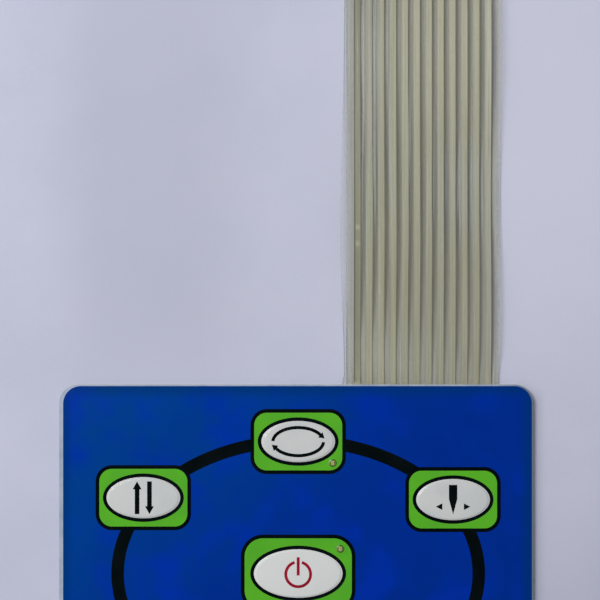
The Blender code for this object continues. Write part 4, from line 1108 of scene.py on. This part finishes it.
def make_housing():
    """Moulded housing with a mouth for the tail, and for each terminal a flared cavity and a latch window."""
    low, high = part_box("connector_housing")
    middle_z = (low.z + high.z) / 2
    mouth_end = high.y - HOUSING_FRONT_LENGTH
    window_front = high.y - LATCH_WINDOW_SETBACK
    beyond = HOUSING_WALL

    mesh = bmesh.new()
    add_block(mesh, low, high)
    bmesh.ops.bevel(mesh, geom=mesh.edges[:], offset=HOUSING_EDGE_ROUND, segments=4, affect="EDGES",
                    profile=0.5)
    body = working_object("housing_body", mesh)

    cuts = {name: bmesh.new() for name in ("mouth", "cavities", "windows", "flares")}
    add_block(cuts["mouth"], (low.x + HOUSING_END_WALL, low.y - beyond, low.z + HOUSING_WALL),
              (high.x - HOUSING_END_WALL, mouth_end, high.z - HOUSING_WALL))
    for socket in panel_node_names("terminal_"):
        socket_low, socket_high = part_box(socket)
        x = (socket_low.x + socket_high.x) / 2
        half = (socket_high.x - socket_low.x) / 2 + TERMINAL_CLEARANCE
        lower, upper = middle_z - half, middle_z + half
        left, right = x - LATCH_WINDOW_WIDTH / 2, x + LATCH_WINDOW_WIDTH / 2
        add_block(cuts["cavities"], (x - half, mouth_end - beyond, lower), (x + half, high.y + beyond, upper))
        add_block(cuts["windows"], (left, window_front - LATCH_WINDOW_LENGTH, middle_z),
                  (right, window_front, high.z + beyond))
        add_block(cuts["flares"], (x - half, high.y - FLARE, lower),
                  (x + half, high.y + FLARE, upper), 2 * FLARE)
    cutters = []
    for name, cut in cuts.items():
        bmesh.ops.recalc_face_normals(cut, faces=cut.faces)
        cutter = working_object(name, cut)
        cutters.append(cutter)
        modifier = body.modifiers.new(name, "BOOLEAN")
        modifier.operation = "DIFFERENCE"
        modifier.object = cutter
    soften = body.modifiers.new("soften", "BEVEL")
    soften.width = HOUSING_CUT_ROUND
    soften.segments = 2
    soften.limit_method = "ANGLE"
    soften.angle_limit = math.radians(50)
    shaped = body.evaluated_get(bpy.context.evaluated_depsgraph_get())
    mesh = bmesh.new()
    mesh.from_mesh(shaped.data)
    for helper in [body] + cutters:
        bpy.data.objects.remove(helper, do_unlink=True)
    add_piece("moulded_housing", mesh, [housing_plastic()], ["connector_housing"], 10)


def panel_node_names(prefix):
    return sorted(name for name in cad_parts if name.startswith(prefix))


# The tail's edges and the films' levels, as the solids have them
film_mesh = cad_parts["circuit_film"].data
tail_corners = [v.co for v in film_mesh.vertices if v.co.y > half_height + STRAIGHT_EDGE_START]
film_tail_left = min(corner.x for corner in tail_corners)
film_tail_right = max(corner.x for corner in tail_corners)
cover_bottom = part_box("silver_common")[0].z + COVER_LIFT

make_overlay()
make_panel_films()
make_clear_films()
silver = silver_ink()
for node in panel_node_names("silver_"):
    make_silver_line(node, silver)
for key, dome in zip(KEYS, DOMES):
    steel = bpy.data.materials.new("dome_steel_" + key.name)
    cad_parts["snap_dome_" + key.name].material_slots[0].material = dome_steel(steel, dome.x, dome.y)
tin = tin_plate()
for node in panel_node_names("terminal_"):
    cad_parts[node].material_slots[0].material = tin
board = lamp_base()
for node, lamp in zip(("lamp_top", "lamp_centre"), LAMPS):
    make_lamp(node, lamp, [lamp_resin(lamp), board, tin])
make_housing()

# Table, light and camera
picture_x = CENTRE.x + (PHOTO_WIDTH / 2 - CENTRE_KEY_PIXEL[0]) / PIXELS_PER_METRE
picture_y = CENTRE.y + (CENTRE_KEY_PIXEL[1] - PHOTO_WIDTH / 2) / PIXELS_PER_METRE
picture_width = PHOTO_WIDTH / PIXELS_PER_METRE

mesh = bmesh.new()
bmesh.ops.create_grid(mesh, x_segments=1, y_segments=1, size=3.0)
floor_data = bpy.data.meshes.new("table")
mesh.to_mesh(floor_data)
mesh.free()
floor_data.materials.append(table_paper())
floor = bpy.data.objects.new("table", floor_data)
bpy.context.scene.collection.objects.link(floor)

LIGHT_PLACE = Vector((-0.20, 0.12, 0.46))
LIGHT_SIZE = (0.20, 0.30)
LIGHT_POWER = 1.79
light_data = bpy.data.lights.new("window_light", "AREA")
light_data.shape = "RECTANGLE"
light_data.size, light_data.size_y = LIGHT_SIZE
light_data.energy = LIGHT_POWER
light_object = bpy.data.objects.new("window_light", light_data)
aim = Vector((picture_x, picture_y, 0.0))
light_object.location = aim + LIGHT_PLACE
light_object.rotation_euler = (-LIGHT_PLACE).to_track_quat("-Z", "Y").to_euler()
bpy.context.scene.collection.objects.link(light_object)

world = bpy.data.worlds.new("room")
bpy.context.scene.world = world
sky = Finish("", world)
overhead = sky.ramp(sky.along("Z"), 0.72, 0.95)
near_window = sky.ramp(sky.along("Y") * 0.35 - sky.along("X"), -0.9, 0.9)
walls = sky.mixed((0.34, 0.34, 0.35), (0.74, 0.74, 0.75), near_window)
shade = sky.mixed(walls, (0.02, 0.02, 0.02), overhead)
sky.node("ShaderNodeOutputWorld", {}, {"Surface": sky.node("ShaderNodeBackground", {}, {"Color": shade})})

camera_data = bpy.data.cameras.new("camera")
camera_data.sensor_width = SENSOR_WIDTH
camera_data.lens = SENSOR_WIDTH * CAMERA_DISTANCE / picture_width
camera = bpy.data.objects.new("camera", camera_data)
camera.location = aim + Vector((0, 0, CAMERA_DISTANCE))
bpy.context.scene.collection.objects.link(camera)
bpy.context.scene.camera = camera
bpy.context.scene.view_settings.view_transform = "Standard"
